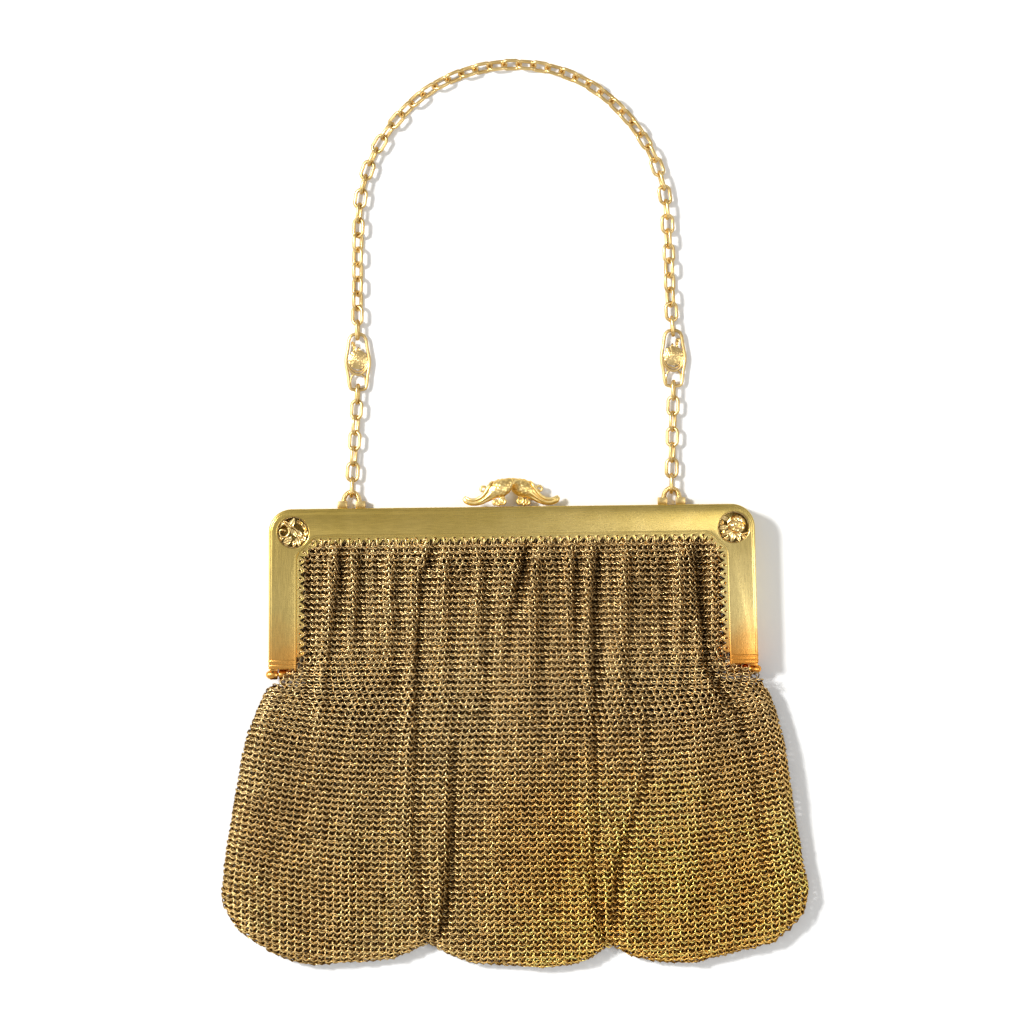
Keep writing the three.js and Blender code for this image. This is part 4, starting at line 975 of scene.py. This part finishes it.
def mouth_path(depth, foot=LEG_LENGTH, fillet=0.0):
    """The inner side of a jaw, with its shoulders cut across."""
    cut = SHOULDER - (depth - FACE_WIDTH) * (2 - math.sqrt(2))
    half = [(-leg_x(-foot, depth), -foot), (-leg_x(-depth - cut, depth), -depth - cut),
            (-HALF_FRAME + depth + cut, -depth)]
    points = np.array(half + [(-x, y) for x, y in half[::-1]])
    if fillet == 0:
        return points
    soft = [points[0]]
    for a, p, b in zip(points, points[1:], points[2:]):
        start, end = p + unit(a - p) * fillet, p + unit(b - p) * fillet
        soft += [(1 - t) ** 2 * start + 2 * t * (1 - t) * p + t * t * end for t in np.linspace(0, 1, 6)]
    return np.array(soft + [points[-1]])


def circle(x, y, radius, count=32):
    turn = np.linspace(0, 2 * math.pi, count, endpoint=False)
    return np.stack([x + radius * np.cos(turn), y + radius * np.sin(turn)], axis=1)


TOOTH_SHAPE = [(0.0, 0.0), (0.28, 0.86), (0.38, 1.0), (0.62, 1.0), (0.72, 0.86)]
FLANGE_STOP = 2.9


def teeth():
    """The toothed line, and a threading hole above the tip of each tooth with its way down."""
    base = mouth_path(TOOTH_TIP - TOOTH_DEPTH, LEG_LENGTH - FLANGE_STOP)
    line, holes, ways_down = [], [], []
    for a, b in zip(base, base[1:]):
        along = unit(b - a)
        inward = np.array([along[1], -along[0]])
        count = max(1, round(math.dist(a, b) / TOOTH_PITCH))
        pitch = math.dist(a, b) / count
        for k in range(count):
            line += [a + along * (k + share) * pitch + inward * depth * TOOTH_DEPTH for share, depth in TOOTH_SHAPE]
            holes.append(a + along * (k + 0.5) * pitch + inward * 0.15)
            ways_down.append(inward)
    return np.array(line + [base[-1]]), np.array(holes), np.array(ways_down)


tooth_line, tooth_holes, tooth_ways = teeth()
print(len(tooth_holes), "teeth on each jaw")

# %% The two jaws
LEG_MIDDLE = 60.1
KNUCKLE_PITCH = 2.5
KNUCKLE_LENGTH = 2.2
WINDOWS = [(-56.9, -6.05), (57.7, -6.05)]
WINDOW_RADIUS = 4.05
BAND_PITCH = 1.2


def knuckle(x):
    half = KNUCKLE_LENGTH / 2
    barrel = [(0, -half), (1.0, -half), (1.22, -half + 0.08), (1.3, -half + 0.26), (1.3, half - 0.26),
              (1.22, half - 0.08), (1.0, half), (0, half)]
    neck = [(x - half + 0.05, HINGE_Y + 0.5), (x + half - 0.05, HINGE_Y + 0.5),
            (x + half - 0.05, -LEG_LENGTH + 0.4), (x - half + 0.05, -LEG_LENGTH + 0.4)]
    return [moved(turned(barrel, 24, "x"), x, HINGE_Y, SPLIT_Z),
            plate([neck], SPLIT_Z + GAP / 2, SPLIT_Z + 0.9, 0.12)]


def ridge(y, side):
    """A rounded bar that wraps over the face and down both edges of a leg."""
    outer, inner = leg_x(y, 0.22), leg_x(y, FACE_WIDTH - 0.2)
    path = [(outer, 5.2), (outer, 8.1), (outer - 0.12, 8.42), (outer - 0.45, 8.58), (inner + 0.4, 8.6),
            (inner + 0.06, 8.5), (inner, 8.3), (inner, 7.7)]
    return tube([(side * x, y, z) for x, z in path], 0.32, 12, up=(0, 1, 0))


def jaw(front):
    shells = [plate([np.vstack([outer_path(0), outer_path(RIM_THICK)[::-1]])], SPLIT_Z + GAP / 2,
                    FACE_Z - 0.08, 0.45, 3)]
    windows = [circle(x, y, WINDOW_RADIUS, 48) for x, y in WINDOWS] if front else []
    face = np.vstack([outer_path(0.55), mouth_path(FACE_WIDTH, fillet=1.2)[::-1]])
    shells.append(plate([face, *windows], FACE_Z - FACE_THICK, FACE_Z, 0.3, 3))
    if front:
        lip = evenly(np.pad(mouth_path(FACE_WIDTH - 0.2, fillet=1.2), ((0, 0), (0, 1))), 240)
        shells.append(tube(lip + (0, 0, FACE_Z - 0.16), 0.26, 10))
    lap = mouth_path(FACE_WIDTH - 0.8, LEG_LENGTH - FLANGE_STOP)
    holes = [circle(x, y, 0.42, 10) for x, y in tooth_holes]
    shells.append(plate([np.vstack([tooth_line, lap[::-1]]), *holes], FACE_Z - 1.0, FACE_Z - 0.4, 0.06, 1))
    for side in (-1, 1):
        foot = [(side * leg_x(-LEG_LENGTH, 0.5), -LEG_LENGTH), (side * leg_x(-LEG_LENGTH, FACE_WIDTH), -LEG_LENGTH),
                (side * leg_x(-LEG_LENGTH, FACE_WIDTH), -LEG_LENGTH + 1.1),
                (side * leg_x(-LEG_LENGTH, 0.5), -LEG_LENGTH + 1.1)]
        shells.append(plate([foot], SPLIT_Z + GAP / 2 + 0.1, FACE_Z - 0.1, 0.1, 1))
        places_across = (-KNUCKLE_PITCH, KNUCKLE_PITCH) if front else (0.0,)
        for across in places_across:
            shells += knuckle(side * LEG_MIDDLE + across)
        if front:
            shells += [ridge(-LEG_LENGTH + 0.85 + i * BAND_PITCH, side) for i in range(2)]
    if not front:
        shells = [(np.asarray(v) * (1, 1, -1) + (0, 0, FACE_Z), f) for v, f in shells]
    return shells


front_jaw = solid("frame_front", jaw(True), frame_gold, 30)
dress(front_jaw, "frame_gold", "front_frame")
back_jaw = solid("frame_back", jaw(False), frame_gold, 30)
dress(back_jaw, "frame_gold", "back_frame")
low, high = np.array(front_jaw.bound_box).min(0), np.array(front_jaw.bound_box).max(0)
print("front jaw (mm)", ((low - FRAME_TOP) / MM).round(2), ((high - FRAME_TOP) / MM).round(2))

# %% [markdown]
# Each hinge turns on a pin with a small ball at either end, which keeps it in its barrel. It is turned
# on a lathe, so it is a profile spun about its own axis.

# %% Hinge pins
PIN_REACH = 3.45
BALL = 1.05
ball_profile = [(BALL * math.sin(math.radians(a)), -BALL * math.cos(math.radians(a)))
                for a in (0, 20, 40, 60, 80, 100, 120, 140, 151)]
pin_profile = [(r, h - PIN_REACH) for r, h in ball_profile]
pin_profile += [(r, -h) for r, h in pin_profile[::-1]]
for side, word in ((-1, "left"), (1, "right")):
    shell = moved(turned(pin_profile, 24, "x"), side * LEG_MIDDLE, HINGE_Y, SPLIT_Z)
    pin = solid(f"hinge_pin_{word}_turned", [shell], frame_gold, 50)
    dress(pin, "frame_gold", f"hinge_pin_{word}")

# %% [markdown]
# ## Roses, leaves and stems
#
# The small castings share four motifs: a small dense rose, an open rose, a pointed leaf and a stem. The
# small rose is a low dome whose petals a rule raises, for they are finer than a pinhead. A petal of the
# open rose is a shallow dish with a rolled rim, made as a closed shell from rings of points, and it has
# four turns of them round a bud. A leaf is a dished blade with a raised rib and nicks in its edge.

# %% Petal, rose and leaf
def petal(length, width, cup, thick=0.22, nicks=0, rib=0.0, across=16):
    """A dished blade lying along +X from its foot, closed above and below."""
    turn = np.linspace(0, 2 * math.pi, across, endpoint=False)
    cut = 1 - 0.09 * (1 + np.cos(nicks * turn)) * (np.abs(np.cos(turn)) < 0.9) if nicks else 1.0
    x_edge = length / 2 * np.cos(turn) * cut
    y_edge = width / 2 * np.sin(turn) * cut * (1 - 0.25 * np.cos(turn) if nicks == 0 else 1 - 0.35 * np.cos(turn))
    verts, faces = [], []
    shares = [0.3, 0.6, 0.85, 1.0, 1.0, 0.85, 0.5]
    lifts = [0.0, 0.25, 0.75, 1.0, 1.0, 0.75, 0.2]
    for i, (share, lift) in enumerate(zip(shares, lifts)):
        z = cup * lift - (thick if i > 3 else 0.0)
        for j in range(across):
            spine = rib * math.exp(-(y_edge[j] * share / (0.12 * width)) ** 2) if i <= 3 else 0.0
            verts.append((length / 2 + x_edge[j] * share, y_edge[j] * share, z + spine))
    rows = len(shares)
    verts.append((length / 2, 0, rib))
    verts.append((length / 2, 0, -thick))
    for i in range(rows - 1):
        faces += [(i * across + j, i * across + (j + 1) % across, (i + 1) * across + (j + 1) % across,
                   (i + 1) * across + j) for j in range(across)]
    faces += [(rows * across, (j + 1) % across, j) for j in range(across)]
    faces += [(rows * across + 1, (rows - 1) * across + j, (rows - 1) * across + (j + 1) % across)
              for j in range(across)]
    return np.array(verts), faces


def tipped(shell, degrees):
    """Lifts the far end of a blade."""
    verts, faces = shell
    c, s = math.cos(math.radians(degrees)), math.sin(math.radians(degrees))
    verts = np.asarray(verts)
    lifted = [verts[:, 0] * c - verts[:, 2] * s, verts[:, 1], verts[:, 0] * s + verts[:, 2] * c]
    return np.stack(lifted, axis=1), faces


def small_rose(x, y, z, radius, rise, grain=1):
    """A low dome with turns of petals raised by rule, each turn standing over the next one out."""
    chance = np.random.default_rng(grain)
    counts, phases = np.array([3, 5, 8, 10, 13]), chance.random(5)
    sides, rings = 78, 28
    share = np.linspace(0.03, 1.0, rings)[:, None]
    turn = np.linspace(0, 2 * math.pi, sides, endpoint=False)[None, :]
    row_at = np.clip(share * 5 + 0.15 * np.sin(3 * turn + 1) * share, 0, 4.999)
    row = row_at.astype(int)
    edge = 1 - np.abs(2 * ((turn * counts[row] / (2 * math.pi) + phases[row]) % 1) - 1) ** 3
    height = rise * (1 - share ** 2.2) + 0.08 * (row_at - row) * edge
    reach = radius * share * (1 + 0.05 * (edge - 0.6) * (share > 0.8))
    top = np.stack([x + reach * np.cos(turn), y + reach * np.sin(turn), z + height], axis=2)
    foot = top[-1:] * (1, 1, 0) + (0, 0, z - 0.3)
    verts = np.vstack([np.vstack([top, foot]).reshape(-1, 3), [(x, y, z + rise), (x, y, z - 0.3)]])
    faces = [(i * sides + j, (i + 1) * sides + j, (i + 1) * sides + (j + 1) % sides, i * sides + (j + 1) % sides)
             for i in range(rings) for j in range(sides)]
    faces += [(len(verts) - 2, j, (j + 1) % sides) for j in range(sides)]
    faces += [(len(verts) - 1, rings * sides + (j + 1) % sides, rings * sides + j) for j in range(sides)]
    return [(verts, faces)]


def open_rose(x, y, z, radius, rise, turn=0.0, grain=1):
    """A domed seat with four turns of broad petals."""
    chance = np.random.default_rng(grain)
    shells = [moved(turned([(0, -0.25), (radius * 0.86, -0.2), (radius * 0.93, 0.02), (radius * 0.7, rise * 0.3),
                            (0, rise * 0.5)], 22), x, y, z)]
    for count, reach, lift, tip, level in ((5, 0.80, 0.34, 3, 0.08), (5, 0.62, 0.30, 9, 0.26),
                                           (4, 0.44, 0.26, 16, 0.44), (3, 0.28, 0.2, 26, 0.58)):
        for k in range(count):
            degrees = turn + k * 360 / count + 370 * level + chance.normal(0, 5)
            blade = tipped(petal(radius * reach, radius * reach * 1.12, rise * lift, 0.16), tip)
            offset = max(radius * (0.98 - reach) * (1 - 0.35 * level), 0.06 * radius)
            way = np.radians(degrees)
            shells.append(moved(blade, x + offset * math.cos(way), y + offset * math.sin(way),
                                z + rise * level, degrees))
    shells.append(moved(turned([(0, -0.3), (radius * 0.16, -0.2), (radius * 0.18, 0.1), (radius * 0.1, 0.26),
                                (0, 0.3)], 10), x, y, z + rise * 0.75))
    return shells


def leaf(x, y, z, length, width, degrees, tip=8, nicks=11):
    blade = tipped(petal(length, width, 0.18, 0.22, nicks=nicks, rib=0.22, across=28), tip)
    return moved(blade, x, y, z, degrees)


def stem(points, radius, z=0.0, taper=1.0):
    line = spline([(px, py, z + (p[0] if p else 0.0)) for px, py, *p in points], 6)
    return tube(line, radius * np.linspace(1.0, taper, len(line)), 10)


print("motifs ready")

# %% [markdown]
# The roundels sit in the two windows of the front jaw, over the dark hollow of the frame. The left one
# has a bud on a curling stem, the right one an open rose. They are openwork, so the gaps between the
# leaves are real holes.

# %% Roundels
ROUNDEL_Z = FACE_Z - 1.3


def seat(x, y):
    return plate([circle(x, y, 4.35, 40), circle(x, y, 3.8, 40)], ROUNDEL_Z - 0.9, ROUNDEL_Z - 0.4, 0.12)


x, y = WINDOWS[0]
left_parts = [seat(x, y)]
left_parts += [
    stem([(x - 3.4, y + 1.5, 0.2), (x - 2.4, y + 2.3, 0.6), (x - 1.1, y + 1.4, 0.8), (x - 0.2, y + 0.3, 0.9),
          (x + 0.7, y - 0.5, 0.8), (x + 1.4, y - 1.6, 0.5), (x + 1.9, y - 3.0, 0.2)], 0.34, ROUNDEL_Z),
    stem([(x - 1.2, y + 1.1, 0.6), (x - 1.0, y + 0.2, 0.6), (x - 1.5, y - 0.8, 0.5), (x - 2.6, y - 1.2, 0.4),
          (x - 3.4, y - 0.6, 0.3), (x - 3.5, y + 0.4, 0.3), (x - 2.9, y + 0.7, 0.4), (x - 2.0, y + 0.5, 0.5)],
         0.3, ROUNDEL_Z),
    stem([(x + 1.4, y + 0.2, 0.5), (x + 0.4, y + 1.0, 0.7), (x - 0.6, y + 1.9, 0.6), (x - 1.9, y + 2.9, 0.4)],
         0.26, ROUNDEL_Z),
]
for dx, dy, length, width, degrees, lift in (
        (-0.9, 1.5, 2.6, 1.5, 58, 0.5), (-2.4, 1.9, 1.9, 1.1, 98, 0.4), (0.7, 0.3, 2.2, 1.5, -38, 0.8),
        (-0.4, 0.6, 2.2, 1.3, -50, 0.9), (1.0, 2.9, 1.9, 1.0, -28, 0.2), (2.6, 2.0, 2.1, 1.0, -66, 0.2),
        (3.4, 0.4, 2.1, 1.1, -100, 0.2), (1.2, -1.0, 2.5, 1.6, -22, 0.5), (0.9, -1.5, 2.2, 1.4, -70, 0.5),
        (-0.4, -1.4, 2.6, 1.5, -152, 0.4), (-1.2, -1.9, 2.1, 1.3, -118, 0.3), (0.4, -2.2, 1.9, 1.1, -100, 0.3),
        (-2.9, -0.9, 1.9, 1.0, -112, 0.2), (3.0, -1.4, 1.7, 1.0, -120, 0.2)):
    left_parts.append(leaf(x + dx, y + dy, ROUNDEL_Z + lift, length, width, degrees))
left_roundel = solid("roundel_bud", left_parts, ornament_gold, 40)
dress(left_roundel, "ornament_gold", "roundel_left")

x, y = WINDOWS[1]
right_parts = [seat(x, y)]
right_parts += open_rose(x + 0.75, y + 0.75, ROUNDEL_Z + 0.3, 2.55, 1.0, 20, 3)
right_parts += [
    stem([(x + 0.3, y - 0.6, 0.5), (x - 0.7, y - 1.6, 0.5), (x - 1.6, y - 2.4, 0.3), (x - 2.4, y - 3.0, 0.2)],
         0.3, ROUNDEL_Z),
    stem([(x + 0.3, y - 1.0, 0.5), (x + 1.4, y - 1.9, 0.4), (x + 2.6, y - 1.7, 0.3), (x + 3.5, y - 1.5, 0.2)],
         0.3, ROUNDEL_Z),
    stem([(x - 1.2, y + 0.6, 0.5), (x - 2.2, y - 0.4, 0.4), (x - 3.2, y - 0.6, 0.3)], 0.28, ROUNDEL_Z),
]
for dx, dy, length, width, degrees, lift in (
        (-1.5, 2.0, 2.0, 1.2, 158, 0.3), (-2.9, 1.7, 1.7, 0.9, -100, 0.2), (-1.6, 0.0, 2.2, 1.4, 186, 0.4),
        (-2.2, -0.7, 2.0, 1.3, -110, 0.3), (-0.6, -1.2, 2.3, 1.4, -165, 0.5), (-0.1, -1.7, 2.3, 1.5, -105, 0.4),
        (0.9, -2.0, 2.0, 1.2, -68, 0.3), (-1.2, -2.6, 1.8, 1.0, -160, 0.2), (2.5, -1.8, 1.8, 1.0, -80, 0.2),
        (0.2, -1.0, 2.3, 1.5, -35, 0.5)):
    right_parts.append(leaf(x + dx, y + dy, ROUNDEL_Z + lift, length, width, degrees))
right_roundel = solid("roundel_rose", right_parts, ornament_gold, 40)
dress(right_roundel, "ornament_gold", "roundel_right")

# %% [markdown]
# ## Rose links
#
# Halfway up each side, the handle passes through a long open link with a rose in it. Its wire is bent
# round to a narrow top and a squared foot, two thin bars curve under the rose like a cup, and a small
# leaf stands above it. The wires are swept along closed curves.

# %% Rose links
def closed_spline(points, steps=8):
    points = np.asarray(points, float)
    line = spline(np.vstack([points[-2:], points, points[:3]]), steps)
    return line[2 * steps:(2 + len(points)) * steps]


LINK_HALF = 3.05
NECK = 2.0
ROSE_LINK_Z = 1.425
HALF_OUTLINE = [(NECK * 0.55, 7.1), (NECK, 6.25), (NECK + (LINK_HALF - NECK) * 0.5, 3.55), (LINK_HALF, 0.0),
                (NECK + (LINK_HALF - NECK) * 0.5, -3.55), (NECK * 1.08, -6.39), (NECK * 0.85, -7.1)]


def rose_link(name, x, y, leaf_side, node):
    outline = HALF_OUTLINE + [(-px, py) for px, py in HALF_OUTLINE[::-1]]
    wire = closed_spline([(x + px, y + py, ROSE_LINK_Z) for px, py in outline])
    shells = [tube(wire, 0.42, 10, closed=True)]
    for dip, edge, radius in ((-2.5, -0.3, 0.24), (-3.3, -1.3, 0.34)):
        half = [(2.95, edge + 0.9), (2.55, edge), (1.7, dip + 0.75), (0.75, dip + 0.12), (0, dip)]
        cup = half + [(-px, py) for px, py in half[-2::-1]]
        shells.append(tube(spline([(x + px, y + py, ROSE_LINK_Z) for px, py in cup], 6), radius, 10))
    for side in (-1, 1):
        bow = [(1.0, 3.1), (1.75, 4.0), (2.0, 5.3), (1.9, 6.4)]
        shells.append(tube(spline([(x + side * out, y - drop, ROSE_LINK_Z) for out, drop in bow], 6), 0.26, 8))
    shells += small_rose(x + 0.05, y + 0.6, ROSE_LINK_Z + 0.1, 2.5, 0.5, 5 if leaf_side < 0 else 8)
    shells.append(leaf(x + leaf_side * 1.0, y + 2.8, ROSE_LINK_Z, 2.4, 0.85, 90 + leaf_side * 4, 4, nicks=6))
    shells.append(leaf(x + leaf_side * 1.1, y + 4.2, ROSE_LINK_Z, 1.2, 1.0, 90 - leaf_side * 22, 4, nicks=0))
    shells.append(leaf(x - leaf_side * 0.2, y + 2.9, ROSE_LINK_Z - 0.1, 1.0, 0.9, 90, 4, nicks=6))
    link = solid(name, shells, chain_gold, 45)
    dress(link, "chain_gold", node)


rose_link("rose_link_left_cast", -39.71, 38.3, -1, "rose_link_left")
rose_link("rose_link_right_cast", 42.76, 38.3, 1, "rose_link_right")

# %% [markdown]
# ## The chain
#
# The chain is made of plain oval links, each a quarter turn from the last. The tree that stands rings
# on points bends them too, with straight sides this time. The route is a smooth curve through the
# places where the chain lies on the table, cut into equal lengths, one for each link. Here and there
# the chain rolls over, from one link flat and one on edge to both leaning, so the lean is a short table.

# %% Chain links along their routes
LINK_PITCH = 3.82
LINK_WIDTH = 3.7
LINK_WIRE = 0.92
HANDLE_ROUTE = [(-0.945, 0.508), (-0.937, 0.623), (-0.915, 0.71), (-0.835, 0.799), (-0.691, 0.877),
                (-0.49, 0.943), (-0.239, 0.985), (0.031, 1.0), (0.301, 0.987), (0.55, 0.945), (0.754, 0.877),
                (0.9, 0.797), (0.978, 0.71), (1.0, 0.606), (1.007, 0.485)]


def chain(name, route, count, leans, node):
    line = spline([(px, py, 0.0) for px, py in route], 40)
    marks = evenly(line, 2 * count + 1)
    centre, along = marks[1::2].copy(), unit(marks[2::2] - marks[:-1:2])
    number = np.arange(count)
    lean = np.interp(number, *zip(*leans))
    roll = np.radians(90 - lean + (number % 2) * 90)[:, None]
    side = np.stack([-along[:, 1], along[:, 0], np.zeros(count)], axis=1)
    across = side * np.cos(roll) + np.array([0, 0, 1.0]) * np.sin(roll)
    centre[:, 2] = (LINK_WIDTH - LINK_WIRE) / 2 * np.cos(np.radians(lean)) + LINK_WIRE / 2
    bend = (LINK_WIDTH - LINK_WIRE) / 2
    straight = (LINK_PITCH + LINK_WIRE) / 2 - 0.02 - bend
    links = wire_links(name, centre, np.cross(along, across), along, chain_gold,
                       **{"Bend Radius": bend * MM, "Straight": straight * MM, "Wire Radius": LINK_WIRE / 2 * MM,
                          "Bend Steps": 22, "Wire Sides": 8})
    dress(links, "chain_gold", node)


LOWER_LEANS = [(0, 0), (1, 3), (2, 20), (3, 18), (4, 25), (5, 20), (6, 8)]
HANDLE_LEANS = [(0, 8), (1, 28), (2, 43), (6, 45), (8, 16), (10, 8), (12, 10), (14, 25), (17, 42), (24, 45),
                (31, 45), (34, 38), (36, 25), (38, 8), (41, 10), (43, 28), (44.5, 42), (46, 33), (47, 10), (48, 0)]
chain("chain_links_left", [(-41.8, 3.5), (-39.71, 31.9)], 7, LOWER_LEANS, "chain_lower_left")
chain("chain_links_right", [(41.8, 3.5), (42.76, 31.9)], 7, LOWER_LEANS, "chain_lower_right")
chain("chain_links_handle", [(-39.71, 44.7)] + [(a * 41.8, b * 115.5) for a, b in HANDLE_ROUTE] + [(42.76, 44.7)],
      49, HANDLE_LEANS, "chain_upper")

# %% [markdown]
# The chain hangs from two eyes on top of the frame. Each is an arch of reeded wire on two square feet.

# %% Chain eyes
def eye(name, x, node):
    z = 1.725
    arch = [(x - 2.0, 0.6), (x - 2.0, 1.9), (x - 1.65, 3.2), (x - 0.85, 4.05), (x, 4.3)]
    arch += [(2 * x - px, py) for px, py in arch[-2::-1]]
    line = evenly(spline([(px, py, z) for px, py in arch], 24), 110)
    step = np.arange(110)
    reeds = 0.58 + 0.14 * np.abs(step / 54.5 - 1) ** 2 + 0.04 * np.cos(step * 2 * math.pi / 5.0)
    shells = [tube(line, reeds, 14)]
    for side in (-1, 1):
        middle = x + side * 2.35
        block = [(middle - 1.25, -0.05), (middle + 1.25, -0.05), (middle + 1.25, 1.9), (middle - 1.25, 1.9)]
        shells.append(plate([block], z - 1.0, z + 1.0, 0.1, 1))
    piece = solid(name, shells, ornament_gold, 35)
    dress(piece, "ornament_gold", node)


eye("eye_left_reeded", -41.8, "chain_eye_left")
eye("eye_right_reeded", 41.8, "chain_eye_right")

# %% [markdown]
# ## The clasp
#
# The clasp is a kiss lock. Two cast horns stand on the jaws, and their heads snap past each other. Each
# is a curved body that swells from a thin tongue, which curls up at its tip, to a fat round head. Lozenge
# scales cover the head, and a smooth band runs from its back to the tip. The body is a tube along a curve
# with a changing radius. The scales are raised in the same step, by a rule on the turn round the tube
# and the length along it, so they follow the horn as it narrows.

# %% A horn with its scales, band, scroll and feet
HORN = [(0.5, 6.15, 0.5), (0.32, 6.15, 1.05), (-0.45, 6.0, 1.5), (-1.3, 5.55, 1.95), (-2.3, 5.05, 2.3),
        (-3.4, 4.65, 2.3), (-4.5, 4.1, 2.05), (-5.6, 3.25, 1.6), (-6.8, 2.3, 1.15), (-8.2, 1.4, 0.88),
        (-9.6, 1.08, 0.8), (-10.9, 1.25, 0.8), (-11.75, 1.7, 0.8), (-11.95, 1.95, 0.72)]
SCALE_ROW = 1.35
SCALES_ROUND = 10
HORN_FLAT = 0.72


def horn(z):
    line = evenly(spline([(x, y, z, radius) for x, y, radius in HORN], 16), 130)
    path, radius = line[:, :3], line[:, 3]
    run = np.concatenate([[0], np.cumsum(np.linalg.norm(np.diff(path, axis=0), axis=1))])
    sides = 60
    verts, faces = tube(path, radius, sides, flat=HORN_FLAT)
    rings = len(verts) // sides
    place = np.clip(np.arange(rings) - 3, 0, len(path) - 1)
    far = run[place][:, None]
    turn = np.linspace(0, 2 * math.pi, sides, endpoint=False)[None, :]
    around, row_at = turn * SCALES_ROUND / (2 * math.pi), far / SCALE_ROW
    off_line = np.maximum(np.abs((around + row_at) % 1 - 0.5), np.abs((around - row_at) % 1 - 0.5))
    scale = np.clip(1.06 - 2 * off_line, 0, 1) ** 0.6
    scaled = np.clip((6.4 - far) / 0.8, 0, 1) * np.clip(far / 0.5, 0, 1)
    fluted = np.clip((far - 5.8) / 1.2, 0, 1) * np.clip((11.0 - far) / 2.5, 0, 1)
    flutes = np.cos(turn * 8 + 0.5)
    lift = 0.15 * (scale - 0.6) * scaled + 0.10 * flutes * fluted
    points = verts.reshape(rings, sides, 3)
    points = points + unit(points - path[place][:, None]) * lift[..., None]
    # The clasp's colour darkens in the hollows between the scales and in the flute troughs, part patina and part
    # painted shade.
    hollow = np.clip((0.62 - scale) * 2.2, 0, 1) * scaled + 0.5 * np.clip(-flutes, 0, 1) * fluted
    return points.reshape(-1, 3), faces, hollow.ravel()


def curl(x, y, z, start, end, begin_degrees, turns, thick, taper=0.8):
    """A scroll that winds in from its start radius to its end radius."""
    share = np.linspace(0, 1, 40)
    reach = start + (end - start) * share
    angle = np.radians(begin_degrees) + share * turns * 2 * math.pi
    path = np.stack([x + reach * np.cos(angle), y + reach * np.sin(angle), np.full(40, z)], axis=1)
    return tube(path, thick * np.linspace(1.0, taper, 40), 12)


def ball(x, y, z, radius, flat=1.0):
    profile = [(radius * math.sin(a), -radius * flat * math.cos(a)) for a in np.linspace(0, math.pi, 11)]
    return moved(turned(profile, 20), x, y, z)


def clasp_half(name, side, z, node):
    shells = [horn(z), curl(-7.35, 4.5, z, 0.92, 0.42, 0, 0.9, 0.32), curl(-2.25, 1.45, z, 1.0, 0.3, 80, 1.4, 0.42),
              ball(-2.2, 1.4, z, 0.4), curl(-4.15, 1.0, z, 0.66, 0.25, 60, 1.2, 0.34), ball(-3.3, 0.55, z, 0.45)]
    band = spline([(-5.0, 6.5, z + 0.2), (-5.5, 5.9, z + 0.9), (-6.0, 5.0, z + 1.1), (-6.7, 3.85, z + 1.0),
                   (-7.7, 2.7, z + 0.7), (-9.1, 1.95, z + 0.45), (-10.5, 1.85, z + 0.4), (-11.5, 2.25, z + 0.2),
                   (-12.0, 2.55, z)], 12)
    shells.append(tube(band, 0.42 * np.concatenate([np.linspace(0.6, 1, 20), np.ones(len(band) - 40),
                                                    np.linspace(1, 0.7, 20)]), 12))
    if side > 0:
        shells = [(np.asarray(shell[0]) * (-1, 1, 1), *shell[1:]) for shell in shells]
    half = solid(name, shells, clasp_gold, 50)
    dress(half, "clasp_gold", node)


clasp_half("clasp_horn_left", -1, 6.1, "clasp_left")
clasp_half("clasp_horn_right", 1, 2.6, "clasp_right")

# %% [markdown]
# ## Where the mesh meets the frame
#
# One long ring goes through the hole in each tooth and takes up the first row of the mesh. Seen from
# the front these rings stand on edge, as short light strokes. A few larger rings go round the ends of
# the hinges, where the two sheets of mesh part.

# %% Hanging rings
def hanging_rings():
    count = len(tooth_holes)
    down = np.hstack([tooth_ways, np.zeros((count, 1))])
    down = unit(down + rng.normal(0, 0.12, (count, 3)) * (1, 1, 0.4))
    along = np.stack([-tooth_ways[:, 1], tooth_ways[:, 0], np.zeros(count)], axis=1)
    leaning = np.array([0, 0, 0.48]) * rng.choice([-1, 1], count)[:, None] * (1 + rng.normal(0, 0.2, (count, 1)))
    axis = along * 0.88 + leaning
    place = np.hstack([tooth_holes, np.full((count, 1), FACE_Z - 0.62)]) + down * 0.72
    return place, unit(axis - down * np.sum(axis * down, axis=1, keepdims=True)), down


place, axis, down = hanging_rings()
hung = wire_links("hanging_rings", place, axis, down, mesh_gold, np.full(len(place), 0.8), 0.2,
                  **{"Bend Radius": 0.52 * MM, "Straight": 0.42 * MM, "Wire Radius": 0.145 * MM,
                     "Bend Steps": 14, "Wire Sides": 5})
dress(hung, "mesh_gold", "mesh_bag")

big_places = np.array([(-58.4, -42.7, 5.0), (-56.3, -42.4, 5.6), (-54.6, -41.6, 6.2), (-53.6, -39.2, 7.0),
                       (58.6, -42.4, 5.2), (56.4, -42.2, 5.8), (54.7, -41.2, 6.4), (53.8, -38.6, 7.1)])
big_axes = unit([(0.9, 0.2, 0.5), (0.3, -0.6, 0.9), (0.2, 0.4, 0.9), (-0.6, 0.3, 0.8),
                 (0.9, -0.2, 0.5), (-0.4, -0.5, 0.9), (0.1, 0.5, 0.9), (0.6, 0.2, 0.8)])
big_ways = unit(np.cross(big_axes, (0.3, 1.0, 0.1)))
big = wire_links("hinge_rings", big_places, big_axes, big_ways, mesh_gold, np.full(len(big_places), 0.9), 0.1,
                 **{"Bend Radius": 1.1 * MM, "Wire Radius": 0.19 * MM, "Straight": 0.0,
                    "Bend Steps": 18, "Wire Sides": 6})
dress(big, "mesh_gold", "mesh_bag")
